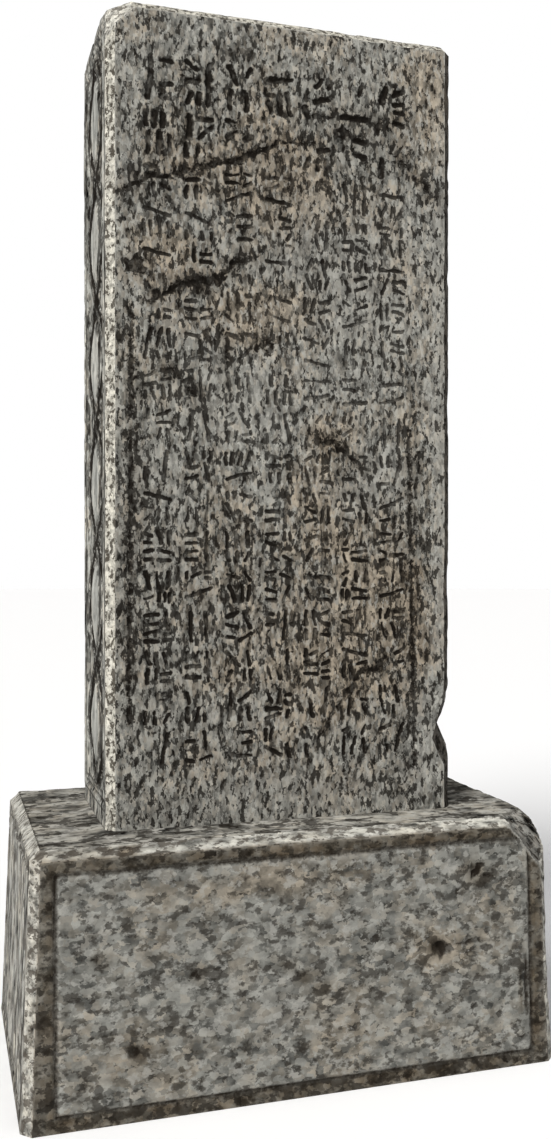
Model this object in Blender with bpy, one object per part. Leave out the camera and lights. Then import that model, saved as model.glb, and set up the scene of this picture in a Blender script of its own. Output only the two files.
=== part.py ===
"""A weathered inscribed stone tablet standing on a tapered base block.

Metres, +Z up. The origin is the middle of the base's underside. The inscribed
front faces -Y, and +X is to the right of someone reading it.
"""

import math
import random

import bmesh
import bpy
from mathutils import Vector

# The upright tablet
TABLET_WIDTH = 0.750
TABLET_DEPTH = 0.357
TABLET_HEIGHT = 1.649
TABLET_ARRIS = 0.018

# The base block, given by the ledges it leaves around the tablet's foot
LEDGE_LEFT = 0.1575
LEDGE_RIGHT = 0.1655
LEDGE_FRONT = 0.115
LEDGE_BACK = 0.124
BASE_HEIGHT = 0.513
BASE_ARRIS = 0.020
SEAT_GAP = 0.0003

# How far each face of the base leans out from its top to its foot
FLARE_LEFT = 0.018
FLARE_RIGHT = 0.010
FLARE_FRONT = 0.022
FLARE_BACK = 0.022

# Broken corners: how far each facet runs along X, along Y and down Z from the square corner
TABLET_CORNER_FACETS = ((0.070, 0.079, 0.037), (0.082, 0.053, 0.076), (0.036, 0.062, 0.130))
BASE_CORNER_FACETS = ((0.124, 0.098, 0.063), (0.115, 0.067, 0.094), (0.102, 0.040, 0.123))

# The V-shaped bite out of the tablet's front right edge, cut by two wedges. Each has the start of
# its valley, as distances in from the right side, back from the front and up from the foot, the way
# the valley runs along X, Y and Z, and how steeply its walls open above and below the valley.
NOTCH_WEDGES = (
    ((0.047, 0.000, 0.152), (0.022, 0.0185, 0.025), 3.2, 2.0),
    ((0.025, 0.018, 0.177), (0.025, 0.070, 0.013), 1.9, 2.0),
)
NOTCH_SPREAD = 0.120
NOTCH_OVERSHOOT = 3.0

# The inscription: two rows of large marks over rows of small ones
TEXT_MARGIN_LEFT = 0.072
TEXT_MARGIN_RIGHT = 0.110
TEXT_MARGIN_TOP = 0.106
TEXT_MARGIN_FOOT = 0.056
HEAD_ROWS = 2
HEAD_MARK_HEIGHT = 0.096
HEAD_MARK_WIDTH = 0.068
HEAD_STROKE = 0.0115
BODY_MARK_HEIGHT = 0.069
BODY_MARK_WIDTH = 0.063
BODY_STROKE = 0.0080
MARK_GAP = 0.012
MARK_CUTS = 3
WHOLE_PARTS = 0.30
STROKE_ROOM = 0.72
STROKE_DEPTH_SHARE = 0.55
WORN_STROKES = 0.10
INSCRIPTION_SEED = 41

# The rules ruled down either side of the inscription, as shares of the tablet's width and height
RULE_WIDTH = 0.009
RULE_DEPTH = 0.005
RULES = (
    ((-0.431, 0.628), (-0.434, 0.500)),
    ((-0.433, 0.482), (-0.436, 0.310)),
    ((-0.436, 0.296), (-0.439, 0.129)),
    ((0.363, 0.497), (0.370, 0.335)),
    ((0.372, 0.322), (0.383, 0.060)),
)

# Cracks in the front face, as shares of the tablet's width and height, and their widest width
CRACK_DEPTH_SHARE = 0.8
CRACKS = (
    (0.011, ((-0.476, 0.766), (-0.392, 0.785), (-0.26, 0.802), (-0.13, 0.821), (0.0, 0.847), (0.085, 0.853))),
    (0.024, ((-0.371, 0.646), (-0.275, 0.661), (-0.188, 0.672), (-0.152, 0.690), (-0.106, 0.701))),
    (0.010, ((0.303, 0.850), (0.365, 0.833), (0.423, 0.802), (0.447, 0.795))),
    (0.009, ((0.076, 0.485), (0.130, 0.474), (0.190, 0.454), (0.244, 0.441))),
    (0.011, ((0.295, 0.206), (0.276, 0.186), (0.217, 0.181), (0.172, 0.152), (0.076, 0.091))),
)

# Pits in the front face: place as shares of width and height, then radius in metres
PIT_SIDES = 7
PIT_DEPTH_SHARE = 0.45
PIT_UNEVEN = (0.75, 1.15)
PIT_SEED = 3
TABLET_PITS = (
    (-0.415, 0.680, 0.026),
    (-0.368, 0.648, 0.012),
    (-0.055, 0.592, 0.018),
    (0.163, 0.866, 0.017),
    (0.279, 0.877, 0.014),
    (0.180, 0.832, 0.012),
)
BASE_PITS = (
    (0.266, 0.505, 0.017),
    (0.338, 0.795, 0.015),
    (0.362, 0.776, 0.010),
    (-0.018, 0.466, 0.008),
    (-0.202, 0.509, 0.008),
    (-0.377, 0.593, 0.008),
    (-0.310, 0.257, 0.014),
)
BASE_CRACKS = (
    (0.008, ((0.291, 0.507), (0.326, 0.520), (0.362, 0.513))),
    (0.008, ((0.438, 0.440), (0.441, 0.330), (0.439, 0.200))),
)

# Sunk panels of the tablet's narrow sides and back, and the border of the base
PANEL_MARGIN = 0.030
PANEL_MARGIN_FOOT = 0.046
BORDER_MARGIN = 0.026
GROOVE_WIDTH = 0.012
GROOVE_DEPTH = 0.006

# The two-strand plait on the left side
PLAIT_EYES = 6
PLAIT_STRAND = 0.034
PLAIT_SWING_SHARE = 0.72
PLAIT_WIDEST_SHARE = 0.96
PLAIT_RIM = 0.010
PLAIT_DEPTH = 0.008
PLAIT_STEPS = 4
PLAIT_DRAFT_SHARE = 0.6
CORNER_BEND = 0.55
LAP_SHARE = 0.72
LAP_WIDTH_SHARE = 0.60

# How far each cutter stands proud of the face it cuts
CUTTER_LIFT = 0.001

STONE_COLOUR = (0.145, 0.135, 0.115, 1.0)
BASE_COLOUR = (0.175, 0.168, 0.145, 1.0)
STONE_ROUGHNESS = 0.86

BASE_WIDTH = FLARE_LEFT + LEDGE_LEFT + TABLET_WIDTH + LEDGE_RIGHT + FLARE_RIGHT
BASE_DEPTH = FLARE_FRONT + LEDGE_FRONT + TABLET_DEPTH + LEDGE_BACK + FLARE_BACK
TABLET_FOOT = BASE_HEIGHT + SEAT_GAP


class Face:
    """A flat face: a point on it, its right and up directions, and its outward normal."""

    def __init__(self, origin, right, up):
        self.origin = Vector(origin)
        self.right = Vector(right).normalized()
        self.up = Vector(up).normalized()
        self.out = self.right.cross(self.up)

    def at(self, across, along, height=0.0):
        """The point that lies across and along the face, and height above it."""
        return self.origin + self.right * across + self.up * along + self.out * height


class Plan:
    """A level rectangle: its left, right, front and back edges."""

    def __init__(self, left, right, front, back):
        self.left, self.right, self.front, self.back = left, right, front, back

    def middle(self):
        return (self.left + self.right) / 2, (self.front + self.back) / 2

    def inside(self, left, right, front, back):
        """The rectangle that lies these distances inside this one."""
        return Plan(self.left + left, self.right - right, self.front + front, self.back - back)


def base_foot():
    return Plan(-BASE_WIDTH / 2, BASE_WIDTH / 2, -BASE_DEPTH / 2, BASE_DEPTH / 2)


def base_top():
    return base_foot().inside(FLARE_LEFT, FLARE_RIGHT, FLARE_FRONT, FLARE_BACK)


def tablet_plan():
    return base_top().inside(LEDGE_LEFT, LEDGE_RIGHT, LEDGE_FRONT, LEDGE_BACK)


def tablet_faces():
    """The tablet's four upright faces, measured from the middle of each one's foot."""
    plan = tablet_plan()
    x, y = plan.middle()
    up = (0, 0, 1)
    return {
        "front": Face((x, plan.front, TABLET_FOOT), (1, 0, 0), up),
        "back": Face((x, plan.back, TABLET_FOOT), (-1, 0, 0), up),
        "left": Face((plan.left, y, TABLET_FOOT), (0, -1, 0), up),
        "right": Face((plan.right, y, TABLET_FOOT), (0, 1, 0), up),
    }


def base_faces():
    """The base's four leaning faces, measured from below the world's origin."""
    foot = base_foot()
    return {
        "front": Face((0, foot.front, 0), (1, 0, 0), (0, FLARE_FRONT, BASE_HEIGHT)),
        "back": Face((0, foot.back, 0), (-1, 0, 0), (0, -FLARE_BACK, BASE_HEIGHT)),
        "left": Face((foot.left, 0, 0), (0, -1, 0), (FLARE_LEFT, 0, BASE_HEIGHT)),
        "right": Face((foot.right, 0, 0), (0, 1, 0), (-FLARE_RIGHT, 0, BASE_HEIGHT)),
    }


def clear_scene():
    for old in list(bpy.data.objects):
        bpy.data.objects.remove(old, do_unlink=True)


def stone_material(name, colour):
    stone = bpy.data.materials.new(name)
    stone.use_nodes = True
    shader = stone.node_tree.nodes["Principled BSDF"]
    shader.inputs["Base Color"].default_value = colour
    shader.inputs["Roughness"].default_value = STONE_ROUGHNESS
    shader.inputs["Metallic"].default_value = 0.0
    return stone


def add_object(name, bm, material=None):
    """Put a bmesh into a new object. Without a material it is a cutter, kept out of the render."""
    mesh = bpy.data.meshes.new(name)
    bm.to_mesh(mesh)
    bm.free()
    solid = bpy.data.objects.new(name, mesh)
    bpy.context.scene.collection.objects.link(solid)
    if material:
        mesh.materials.append(material)
    else:
        solid.hide_render = True
        solid.display_type = "WIRE"
    return solid


def cut(solid, cutter):
    modifier = solid.modifiers.new(cutter.name, "BOOLEAN")
    modifier.operation = "DIFFERENCE"
    modifier.solver = "EXACT"
    modifier.object = cutter


def dressed_block(foot, top, low, height, arris):
    """A block from a foot plan to a top plan, with all but its foot edges taken off by the arris."""
    bm = bmesh.new()
    bmesh.ops.create_cube(bm, size=1.0)
    for corner in bm.verts:
        plan = top if corner.co.z > 0 else foot
        x = plan.left if corner.co.x < 0 else plan.right
        y = plan.front if corner.co.y < 0 else plan.back
        corner.co = (x, y, low + height if corner.co.z > 0 else low)
    edges = [edge for edge in bm.edges if max(v.co.z for v in edge.verts) > low + height / 2]
    bmesh.ops.bevel(bm, geom=edges, offset=arris, segments=1, affect="EDGES", clamp_overlap=True)
    return bm


def break_corner(bm, corner, inward, reaches):
    """Cut off the stone beyond the plane that meets the three edges of a square corner at reaches."""
    normal = Vector([-way / reach for way, reach in zip(inward, reaches)])
    point = Vector(corner) + Vector((inward[0] * reaches[0], 0, 0))
    everything = bm.verts[:] + bm.edges[:] + bm.faces[:]
    result = bmesh.ops.bisect_plane(bm, geom=everything, plane_co=point, plane_no=normal, clear_outer=True)
    rim = [item for item in result["geom_cut"] if isinstance(item, bmesh.types.BMEdge)]
    bmesh.ops.holes_fill(bm, edges=rim)


def rule_across(bm, face, heights):
    """Divide the flat face into bands at the given heights, so that no band holds too many cuts."""
    for height in heights:
        flat = [f for f in bm.faces if abs((f.calc_center_median() - face.origin).dot(face.out)) < 1e-5]
        parts = set(flat)
        for part in flat:
            parts.update(part.edges)
            parts.update(part.verts)
        bmesh.ops.bisect_plane(bm, geom=list(parts), plane_co=face.at(0, height), plane_no=face.up)


def channel(bm, face, path, depth_share, closed=False, hipped=False):
    """A V-section cutter along a path of (across, along, width) points on a face.

    Each point has a rim vertex on either side, above the face, and a keel vertex below
    it at the width times depth_share. The rim is mitred where the path turns. Hipped
    ends draw the keel in by half the width, as a chisel leaves them.
    """
    count = len(path)
    places = [Vector((across, along)) for across, along, _ in path]
    rings = []
    for index, (across, along, width) in enumerate(path):
        before = places[index - 1] if closed or index else places[index]
        after = places[(index + 1) % count] if closed or index < count - 1 else places[index]
        into = (places[index] - before).normalized() if before != places[index] else None
        onward = (after - places[index]).normalized() if after != places[index] else None
        into = into or onward
        onward = onward or into
        heading = (into + onward).normalized()
        stretch = 1.0 / max(heading.dot(into), 0.5)
        side = Vector((-heading.y, heading.x)) * stretch
        rim = width / 2 + CUTTER_LIFT / (2 * depth_share)
        draw = 0.0
        if hipped and not closed:
            draw = width / 2 * ((index == 0) - (index == count - 1))
        keel = places[index] + heading * draw
        rings.append(
            (
                bm.verts.new(face.at(across + side.x * rim, along + side.y * rim, CUTTER_LIFT)),
                bm.verts.new(face.at(keel.x, keel.y, -width * depth_share)),
                bm.verts.new(face.at(across - side.x * rim, along - side.y * rim, CUTTER_LIFT)),
            )
        )
    for index in range(count if closed else count - 1):
        here, there = rings[index], rings[(index + 1) % count]
        for k in range(3):
            bm.faces.new((here[k], here[(k + 1) % 3], there[(k + 1) % 3], there[k]))
    if not closed:
        bm.faces.new(rings[0])
        bm.faces.new(rings[-1])


def pocket(bm, face, outline, depth, draft):
    """A flat-bottomed cutter under an outline on a face, its walls leaning in by the draft."""
    middle = sum((Vector(point) for point in outline), Vector((0, 0))) / len(outline)
    rim, floor = [], []
    for point in outline:
        way = (Vector(point) - middle).normalized()
        outer = Vector(point) + way * draft * CUTTER_LIFT / depth
        inner = Vector(point) - way * draft
        rim.append(bm.verts.new(face.at(outer.x, outer.y, CUTTER_LIFT)))
        floor.append(bm.verts.new(face.at(inner.x, inner.y, -depth)))
    bm.faces.new(rim)
    bm.faces.new(floor)
    count = len(outline)
    for index in range(count):
        after = (index + 1) % count
        bm.faces.new((rim[index], rim[after], floor[after], floor[index]))


def pit(bm, face, across, along, radius, rng):
    """An irregular cone-shaped cutter for a hole left by a lost grain."""
    depth = radius * 2 * PIT_DEPTH_SHARE
    lift = 1 + CUTTER_LIFT / depth
    rim = []
    for index in range(PIT_SIDES):
        angle = 2 * math.pi * index / PIT_SIDES
        reach = radius * rng.uniform(*PIT_UNEVEN) * lift
        place = (across + reach * math.cos(angle), along + reach * math.sin(angle))
        rim.append(bm.verts.new(face.at(*place, CUTTER_LIFT)))
    tip = bm.verts.new(face.at(across, along, -depth))
    bm.faces.new(rim)
    for index in range(PIT_SIDES):
        bm.faces.new((rim[index], rim[(index + 1) % PIT_SIDES], tip))


def finish_cutter(name, bm):
    bmesh.ops.recalc_face_normals(bm, faces=bm.faces[:])
    return add_object(name, bm)


def cell_parts(rng, cell, cuts):
    """Divide a (left, low, right, high) cell by up to cuts cuts in a row, mostly across its longer side."""
    if cuts == 0 or (cuts < MARK_CUTS and rng.random() < WHOLE_PARTS):
        return [cell]
    left, low, right, high = cell
    share = rng.uniform(0.32, 0.68)
    if (right - left) > (high - low) * rng.uniform(0.5, 1.3):
        middle = left + (right - left) * share
        halves = (left, low, middle, high), (middle, low, right, high)
    else:
        middle = low + (high - low) * share
        halves = (left, low, right, middle), (left, middle, right, high)
    return cell_parts(rng, halves[0], cuts - 1) + cell_parts(rng, halves[1], cuts - 1)


def mark_strokes(rng, cell, stroke):
    """One slanted stroke for each part of a cell: ((across, along), (across, along), width)."""
    strokes = []
    for left, low, right, high in cell_parts(rng, cell, MARK_CUTS):
        room = stroke * STROKE_ROOM
        left, low, right, high = left + room, low + room, right - room, high - room
        width, height = right - left, high - low
        lean = rng.uniform(-0.5, 0.5)
        worn = rng.random() < WORN_STROKES
        size = stroke * rng.uniform(0.75, 1.0)
        if height >= width:
            middle, reach = (left + right) / 2, max(width, 0.0) * lean
            ends = (middle - reach, low), (middle + reach, high)
        else:
            middle, reach = (low + high) / 2, max(height, 0.0) * lean
            ends = (left, middle - reach), (right, middle + reach)
        if not worn and max(width, height) > stroke:
            strokes.append((*ends, size))
    return strokes


def text_rows():
    """The rows from the top: (low edge, mark width, mark height, stroke width)."""
    rows = []
    top = TABLET_HEIGHT - TEXT_MARGIN_TOP
    while True:
        head = len(rows) < HEAD_ROWS
        height = HEAD_MARK_HEIGHT if head else BODY_MARK_HEIGHT
        if top - height < TEXT_MARGIN_FOOT:
            return rows
        if head:
            rows.append((top - height, HEAD_MARK_WIDTH, height, HEAD_STROKE))
        else:
            rows.append((top - height, BODY_MARK_WIDTH, height, BODY_STROKE))
        top -= height + MARK_GAP


def distance_to_line(place, start, end):
    along = end - start
    share = (place - start).dot(along) / along.length_squared
    return (place - start - along * min(max(share, 0.0), 1.0)).length


def is_clear(ends, width, flaws):
    """Whether a stroke keeps off every crack and pit, whose broken edges have taken the marks away."""
    points = [Vector(ends[0]), Vector(ends[1]), (Vector(ends[0]) + Vector(ends[1])) / 2]
    for start, end, reach in flaws:
        if min(distance_to_line(point, start, end) for point in points) < reach + width:
            return False
    return True


def tablet_flaws():
    """Every crack length and pit of the front as (start, end, half width), in metres on the face."""
    scale = Vector((TABLET_WIDTH, TABLET_HEIGHT))
    flaws = []
    for width, path in CRACKS:
        places = [Vector(point) * scale for point in path]
        flaws += [(start, end, width / 2) for start, end in zip(places, places[1:])]
    for across, along, radius in TABLET_PITS:
        place = Vector((across, along)) * scale
        flaws.append((place, place + Vector((0.001, 0)), radius))
    return flaws


def inscription():
    """All the strokes of the inscription that are left."""
    rng = random.Random(INSCRIPTION_SEED)
    flaws = tablet_flaws()
    left_edge = -TABLET_WIDTH / 2 + TEXT_MARGIN_LEFT
    room = TABLET_WIDTH - TEXT_MARGIN_LEFT - TEXT_MARGIN_RIGHT
    strokes = []
    for low, width, height, stroke in text_rows():
        count = int((room + MARK_GAP) / (width + MARK_GAP))
        pitch = (room - width) / max(count - 1, 1)
        for index in range(count):
            left = left_edge + index * pitch
            marks = mark_strokes(rng, (left, low, left + width, low + height), stroke)
            strokes += [mark for mark in marks if is_clear(mark[:2], mark[2], flaws)]
    return strokes


def inscription_cutter(face):
    bm = bmesh.new()
    for start, end, width in inscription():
        channel(bm, face, [(*start, width), (*end, width)], STROKE_DEPTH_SHARE, hipped=True)
    return finish_cutter("inscription_cutter", bm)


def crack_path(width, path, scale):
    """Scale a crack to its face. It runs from a hair at each end to its full width between."""
    last = len(path) - 1
    points = []
    for index, (across, along) in enumerate(path):
        swell = 0.3 + 0.7 * math.sin(math.pi * index / last)
        points.append((across * scale[0], along * scale[1], width * swell))
    return points


def crack_cutter(name, face, scale, cracks):
    bm = bmesh.new()
    for width, path in cracks:
        channel(bm, face, crack_path(width, path, scale), CRACK_DEPTH_SHARE, hipped=True)
    return finish_cutter(name, bm)


def pit_cutter(name, face, scale, pits):
    bm = bmesh.new()
    rng = random.Random(PIT_SEED)
    for across, along, radius in pits:
        pit(bm, face, across * scale[0], along * scale[1], radius, rng)
    return finish_cutter(name, bm)


def rule_cutter(face):
    bm = bmesh.new()
    for ends in RULES:
        path = [(across * TABLET_WIDTH, along * TABLET_HEIGHT, RULE_WIDTH) for across, along in ends]
        channel(bm, face, path, RULE_DEPTH / RULE_WIDTH, hipped=True)
    return finish_cutter("rule_cutter", bm)


def groove_ring(bm, face, left, right, low, high):
    """A V-groove round a rectangle on a face."""
    corners = ((left, low), (right, low), (right, high), (left, high))
    path = [(across, along, GROOVE_WIDTH) for across, along in corners]
    channel(bm, face, path, GROOVE_DEPTH / GROOVE_WIDTH, closed=True)


def panel_box(across):
    """Half width, foot and head of the panel outlined on a tablet face that is across wide."""
    half_width = across / 2 - TABLET_ARRIS / 2 - PANEL_MARGIN
    return half_width, PANEL_MARGIN_FOOT, TABLET_HEIGHT - TABLET_ARRIS - PANEL_MARGIN


def plait_pockets(bm, face):
    """The hollows between two strands that swing across a panel as cosines and cross in turn.

    The strands' middles are at plus and minus swing times cos(pi * step / pitch), with a
    crossing half way between one eye and the next. An eye is the lens between them, and a
    corner is the three-sided hollow beside each crossing, out to the panel's rim. Two short
    cuts at each crossing show which strand laps over the other.
    """
    half_width, foot, head = panel_box(TABLET_DEPTH)
    low, high = foot + GROOVE_WIDTH / 2 + PLAIT_RIM, head - GROOVE_WIDTH / 2 - PLAIT_RIM
    rim = half_width - GROOVE_WIDTH / 2 - PLAIT_RIM
    swing = rim * PLAIT_SWING_SHARE
    pitch = (high - low) / PLAIT_EYES
    strand = min(PLAIT_STRAND, swing * PLAIT_WIDEST_SHARE)
    draft = PLAIT_DEPTH * PLAIT_DRAFT_SHARE
    lens_end = pitch / math.pi * math.acos(strand / 2 / swing)
    corner_end = pitch / math.pi * math.asin(min((rim - strand / 2) / swing, PLAIT_WIDEST_SHARE))
    for eye in range(PLAIT_EYES):
        middle = low + (eye + 0.5) * pitch
        side = []
        for step in range(-PLAIT_STEPS + 1, PLAIT_STEPS):
            along = lens_end * step / PLAIT_STEPS
            side.append((swing * math.cos(math.pi * along / pitch) - strand / 2, middle + along))
        other = [(-across, along) for across, along in reversed(side)]
        tips = [(0.0, middle + lens_end)], [(0.0, middle - lens_end)]
        pocket(bm, face, side + tips[0] + other + tips[1], PLAIT_DEPTH, draft)
    for crossing in range(1, PLAIT_EYES):
        middle = low + crossing * pitch
        for way in (-1, 1):
            outline = [(way * rim, middle - corner_end), (way * rim, middle + corner_end)]
            for share in (CORNER_BEND, 0.0, -CORNER_BEND):
                bend = swing * math.sin(math.pi * corner_end * abs(share) / pitch)
                inner = bend + (strand + PLAIT_RIM) / 2
                outline.append((way * inner, middle + corner_end * share))
            pocket(bm, face, outline, PLAIT_DEPTH, draft)
        slope = swing * math.pi / pitch * (1 if crossing % 2 else -1)
        reach = (pitch / 2 - lens_end) * LAP_SHARE
        width = reach * LAP_WIDTH_SHARE
        for edge in (-strand / 2 * LAP_SHARE, strand / 2 * LAP_SHARE):
            path = [(edge + slope * along, middle + along, width) for along in (-reach, reach)]
            channel(bm, face, path, STROKE_DEPTH_SHARE, hipped=True)


def panel_cutter(faces):
    """Outlined panels on the narrow sides and the back, and the plait on the left side."""
    bm = bmesh.new()
    for side, across in (("left", TABLET_DEPTH), ("right", TABLET_DEPTH), ("back", TABLET_WIDTH)):
        half_width, foot, head = panel_box(across)
        groove_ring(bm, faces[side], -half_width, half_width, foot, head)
    plait_pockets(bm, faces["left"])
    return finish_cutter("panel_cutter", bm)


def border_cutter(faces):
    """The border groove round each face of the base, a margin in from that face's top edges."""
    bm = bmesh.new()
    top = base_top()
    spans = {
        "front": (top.left, top.right),
        "back": (-top.right, -top.left),
        "left": (-top.back, -top.front),
        "right": (top.front, top.back),
    }
    inset = BASE_ARRIS + BORDER_MARGIN
    for side, (left, right) in spans.items():
        groove_ring(bm, faces[side], left + inset, right - inset, BORDER_MARGIN, BASE_HEIGHT - inset)
    return finish_cutter("border_cutter", bm)


def notch_cutter(name, start, run, above, below):
    """A wedge whose inner edge is the notch's valley, with a wall opening out above it and one below."""
    bm = bmesh.new()
    plan = tablet_plan()
    valley = Vector((plan.right - start[0], plan.front + start[1], TABLET_FOOT + start[2]))
    along = Vector(run)
    section = (
        Vector((0, 0, 0)),
        Vector((NOTCH_SPREAD, 0, above * NOTCH_SPREAD)),
        Vector((NOTCH_SPREAD, 0, -below * NOTCH_SPREAD)),
    )
    near = [bm.verts.new(valley + corner - along) for corner in section]
    far = [bm.verts.new(valley + corner + along * NOTCH_OVERSHOOT) for corner in section]
    for k in range(3):
        bm.faces.new((near[k], near[(k + 1) % 3], far[(k + 1) % 3], far[k]))
    bm.faces.new(near)
    bm.faces.new(far)
    return finish_cutter(name, bm)


def make_tablet():
    plan = tablet_plan()
    bm = dressed_block(plan, plan, TABLET_FOOT, TABLET_HEIGHT, TABLET_ARRIS)
    corner = (plan.left, plan.front, TABLET_FOOT + TABLET_HEIGHT)
    for facet in TABLET_CORNER_FACETS:
        break_corner(bm, corner, (1, 1, -1), facet)
    faces = tablet_faces()
    rule_across(bm, faces["front"], [row[0] - MARK_GAP / 2 for row in text_rows()])
    tablet = add_object("inscribed_tablet", bm, stone_material("tablet_stone", STONE_COLOUR))
    scale = (TABLET_WIDTH, TABLET_HEIGHT)
    for index, wedge in enumerate(NOTCH_WEDGES):
        cut(tablet, notch_cutter(f"notch_cutter_{index + 1}", *wedge))
    cut(tablet, inscription_cutter(faces["front"]))
    cut(tablet, rule_cutter(faces["front"]))
    cut(tablet, crack_cutter("tablet_crack_cutter", faces["front"], scale, CRACKS))
    cut(tablet, pit_cutter("tablet_pit_cutter", faces["front"], scale, TABLET_PITS))
    cut(tablet, panel_cutter(faces))
    return tablet


def make_base():
    top = base_top()
    bm = dressed_block(base_foot(), top, 0, BASE_HEIGHT, BASE_ARRIS)
    corner = (top.right, top.front, BASE_HEIGHT)
    for facet in BASE_CORNER_FACETS:
        break_corner(bm, corner, (-1, 1, -1), facet)
    base = add_object("base_block", bm, stone_material("base_stone", BASE_COLOUR))
    faces = base_faces()
    scale = (BASE_WIDTH, BASE_HEIGHT)
    cut(base, border_cutter(faces))
    cut(base, crack_cutter("base_crack_cutter", faces["front"], scale, BASE_CRACKS))
    cut(base, pit_cutter("base_pit_cutter", faces["front"], scale, BASE_PITS))
    return base


def main():
    clear_scene()
    make_tablet()
    make_base()


main()
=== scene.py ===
"""Looks for a weathered inscribed stone tablet on its base block.

The file is laid out as an add-on and is run as a script. Each block is one closed
skin: a grid round its outline in one direction, and up its sides and over its top
in the other, which is then sunk into the stone wherever weather, chisel or a break
has taken some away. Metres, +Z up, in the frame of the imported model.
"""

import math
import random
from types import SimpleNamespace

import bpy
import numpy as np
from bpy.props import FloatProperty, FloatVectorProperty, PointerProperty
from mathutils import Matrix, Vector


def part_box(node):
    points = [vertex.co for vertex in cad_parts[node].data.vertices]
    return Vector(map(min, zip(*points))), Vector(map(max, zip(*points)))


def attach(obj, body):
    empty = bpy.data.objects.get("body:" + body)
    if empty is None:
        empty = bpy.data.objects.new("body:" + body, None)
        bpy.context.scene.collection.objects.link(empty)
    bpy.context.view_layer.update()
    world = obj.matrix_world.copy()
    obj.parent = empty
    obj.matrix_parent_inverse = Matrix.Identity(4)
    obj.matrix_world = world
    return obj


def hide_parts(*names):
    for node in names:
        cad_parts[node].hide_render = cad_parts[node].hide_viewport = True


bl_info = {
    "name": "Weathered stone tablet",
    "version": (1, 0, 0),
    "blender": (4, 5, 0),
    "location": "View3D > Sidebar > Stone tablet",
    "description": "Builds the inscribed tablet, its base block and the stage they stand on",
    "category": "Add Mesh",
}

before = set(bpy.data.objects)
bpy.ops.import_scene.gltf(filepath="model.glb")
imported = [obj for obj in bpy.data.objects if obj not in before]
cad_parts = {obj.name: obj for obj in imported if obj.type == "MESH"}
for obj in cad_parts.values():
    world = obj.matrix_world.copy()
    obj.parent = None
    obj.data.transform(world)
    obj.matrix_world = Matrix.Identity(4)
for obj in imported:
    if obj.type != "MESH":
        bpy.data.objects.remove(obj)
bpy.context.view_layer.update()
TABLET_LOW, TABLET_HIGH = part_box("inscribed_tablet")
BASE_LOW, BASE_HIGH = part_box("base_block")
WIDTH, DEPTH, HEIGHT = TABLET_HIGH - TABLET_LOW
BASE_WIDTH, _, BASE_HEIGHT = BASE_HIGH - BASE_LOW
MIDDLE_X = (TABLET_LOW.x + TABLET_HIGH.x) / 2
MIDDLE_Y = (TABLET_LOW.y + TABLET_HIGH.y) / 2
FRONT_SIZE = np.array([WIDTH, HEIGHT])
BASE_SIZE = np.array([BASE_WIDTH, BASE_HEIGHT])

# The blocks' dressed edges, and how far the base's faces lean in: left, right, front, back
TABLET_ARRIS = 0.018
BASE_ARRIS = 0.020
FLARE = (0.018, 0.010, 0.022, 0.022)

# Broken corners: how far each facet runs along X, along Y and down Z from the square corner
TABLET_FACETS = ((0.070, 0.079, 0.037), (0.082, 0.053, 0.076), (0.036, 0.062, 0.130))
BASE_FACETS = ((0.124, 0.098, 0.063), (0.115, 0.067, 0.094), (0.102, 0.040, 0.123))

# The bite out of the front right edge: the start of each valley, its run, and its walls' slopes
NOTCH_WEDGES = (
    ((0.047, 0.000, 0.152), (0.022, 0.0185, 0.025), 3.2, 2.0),
    ((0.025, 0.018, 0.177), (0.025, 0.070, 0.013), 1.9, 2.0),
)
NOTCH_SPREAD = 0.12

# The inscription's margins, rows and strokes. A mark's numbers are its width, height and stroke width
TEXT_MARGIN_LEFT = 0.072
TEXT_MARGIN_RIGHT = 0.110
TEXT_MARGIN_TOP = 0.106
TEXT_MARGIN_FOOT = 0.056
HEAD_ROWS = 2
HEAD_MARK = (0.068, 0.096, 0.0115)
BODY_MARK = (0.063, 0.069, 0.0080)
MARK_GAP = 0.012
MARK_CUTS = 3
WHOLE_PARTS = 0.30
STROKE_ROOM = 0.72
WORN_STROKES = 0.10
INSCRIPTION_SEED = 41

# Rules, cracks, veins and pits of the fronts, as shares of a block's width and height. A crack or vein has
# its width in metres first, and a pit its radius last. Veins aren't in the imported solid
RULE_WIDTH = 0.009
RULE_DEPTH = 0.004
RULES = (
    ((-0.431, 0.628), (-0.434, 0.500)),
    ((-0.433, 0.482), (-0.436, 0.310)),
    ((-0.436, 0.296), (-0.439, 0.129)),
    ((0.363, 0.497), (0.370, 0.335)),
    ((0.372, 0.322), (0.383, 0.060)),
)
CRACKS = (
    (0.011, ((-0.476, 0.766), (-0.392, 0.785), (-0.26, 0.802), (-0.13, 0.821), (0.0, 0.847), (0.085, 0.853))),
    (0.024, ((-0.371, 0.646), (-0.275, 0.661), (-0.188, 0.672), (-0.152, 0.690), (-0.106, 0.701))),
    (0.010, ((0.303, 0.850), (0.365, 0.833), (0.423, 0.802), (0.447, 0.795))),
    (0.009, ((0.076, 0.485), (0.130, 0.474), (0.190, 0.454), (0.244, 0.441))),
    (0.011, ((0.295, 0.206), (0.276, 0.186), (0.217, 0.181), (0.172, 0.152), (0.076, 0.091))),
)
VEINS = (
    (0.008, ((-0.335, 0.562), (-0.300, 0.545), (-0.262, 0.524), (-0.225, 0.508))),
    (0.006, ((-0.172, 0.603), (-0.174, 0.575), (-0.170, 0.548))),
    (0.015, ((-0.415, 0.781), (-0.345, 0.793), (-0.270, 0.801))),
)
PITS = (
    (-0.415, 0.680, 0.026),
    (-0.368, 0.648, 0.012),
    (-0.055, 0.592, 0.018),
    (0.163, 0.866, 0.017),
    (0.279, 0.877, 0.014),
    (0.180, 0.832, 0.012),
)
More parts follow.
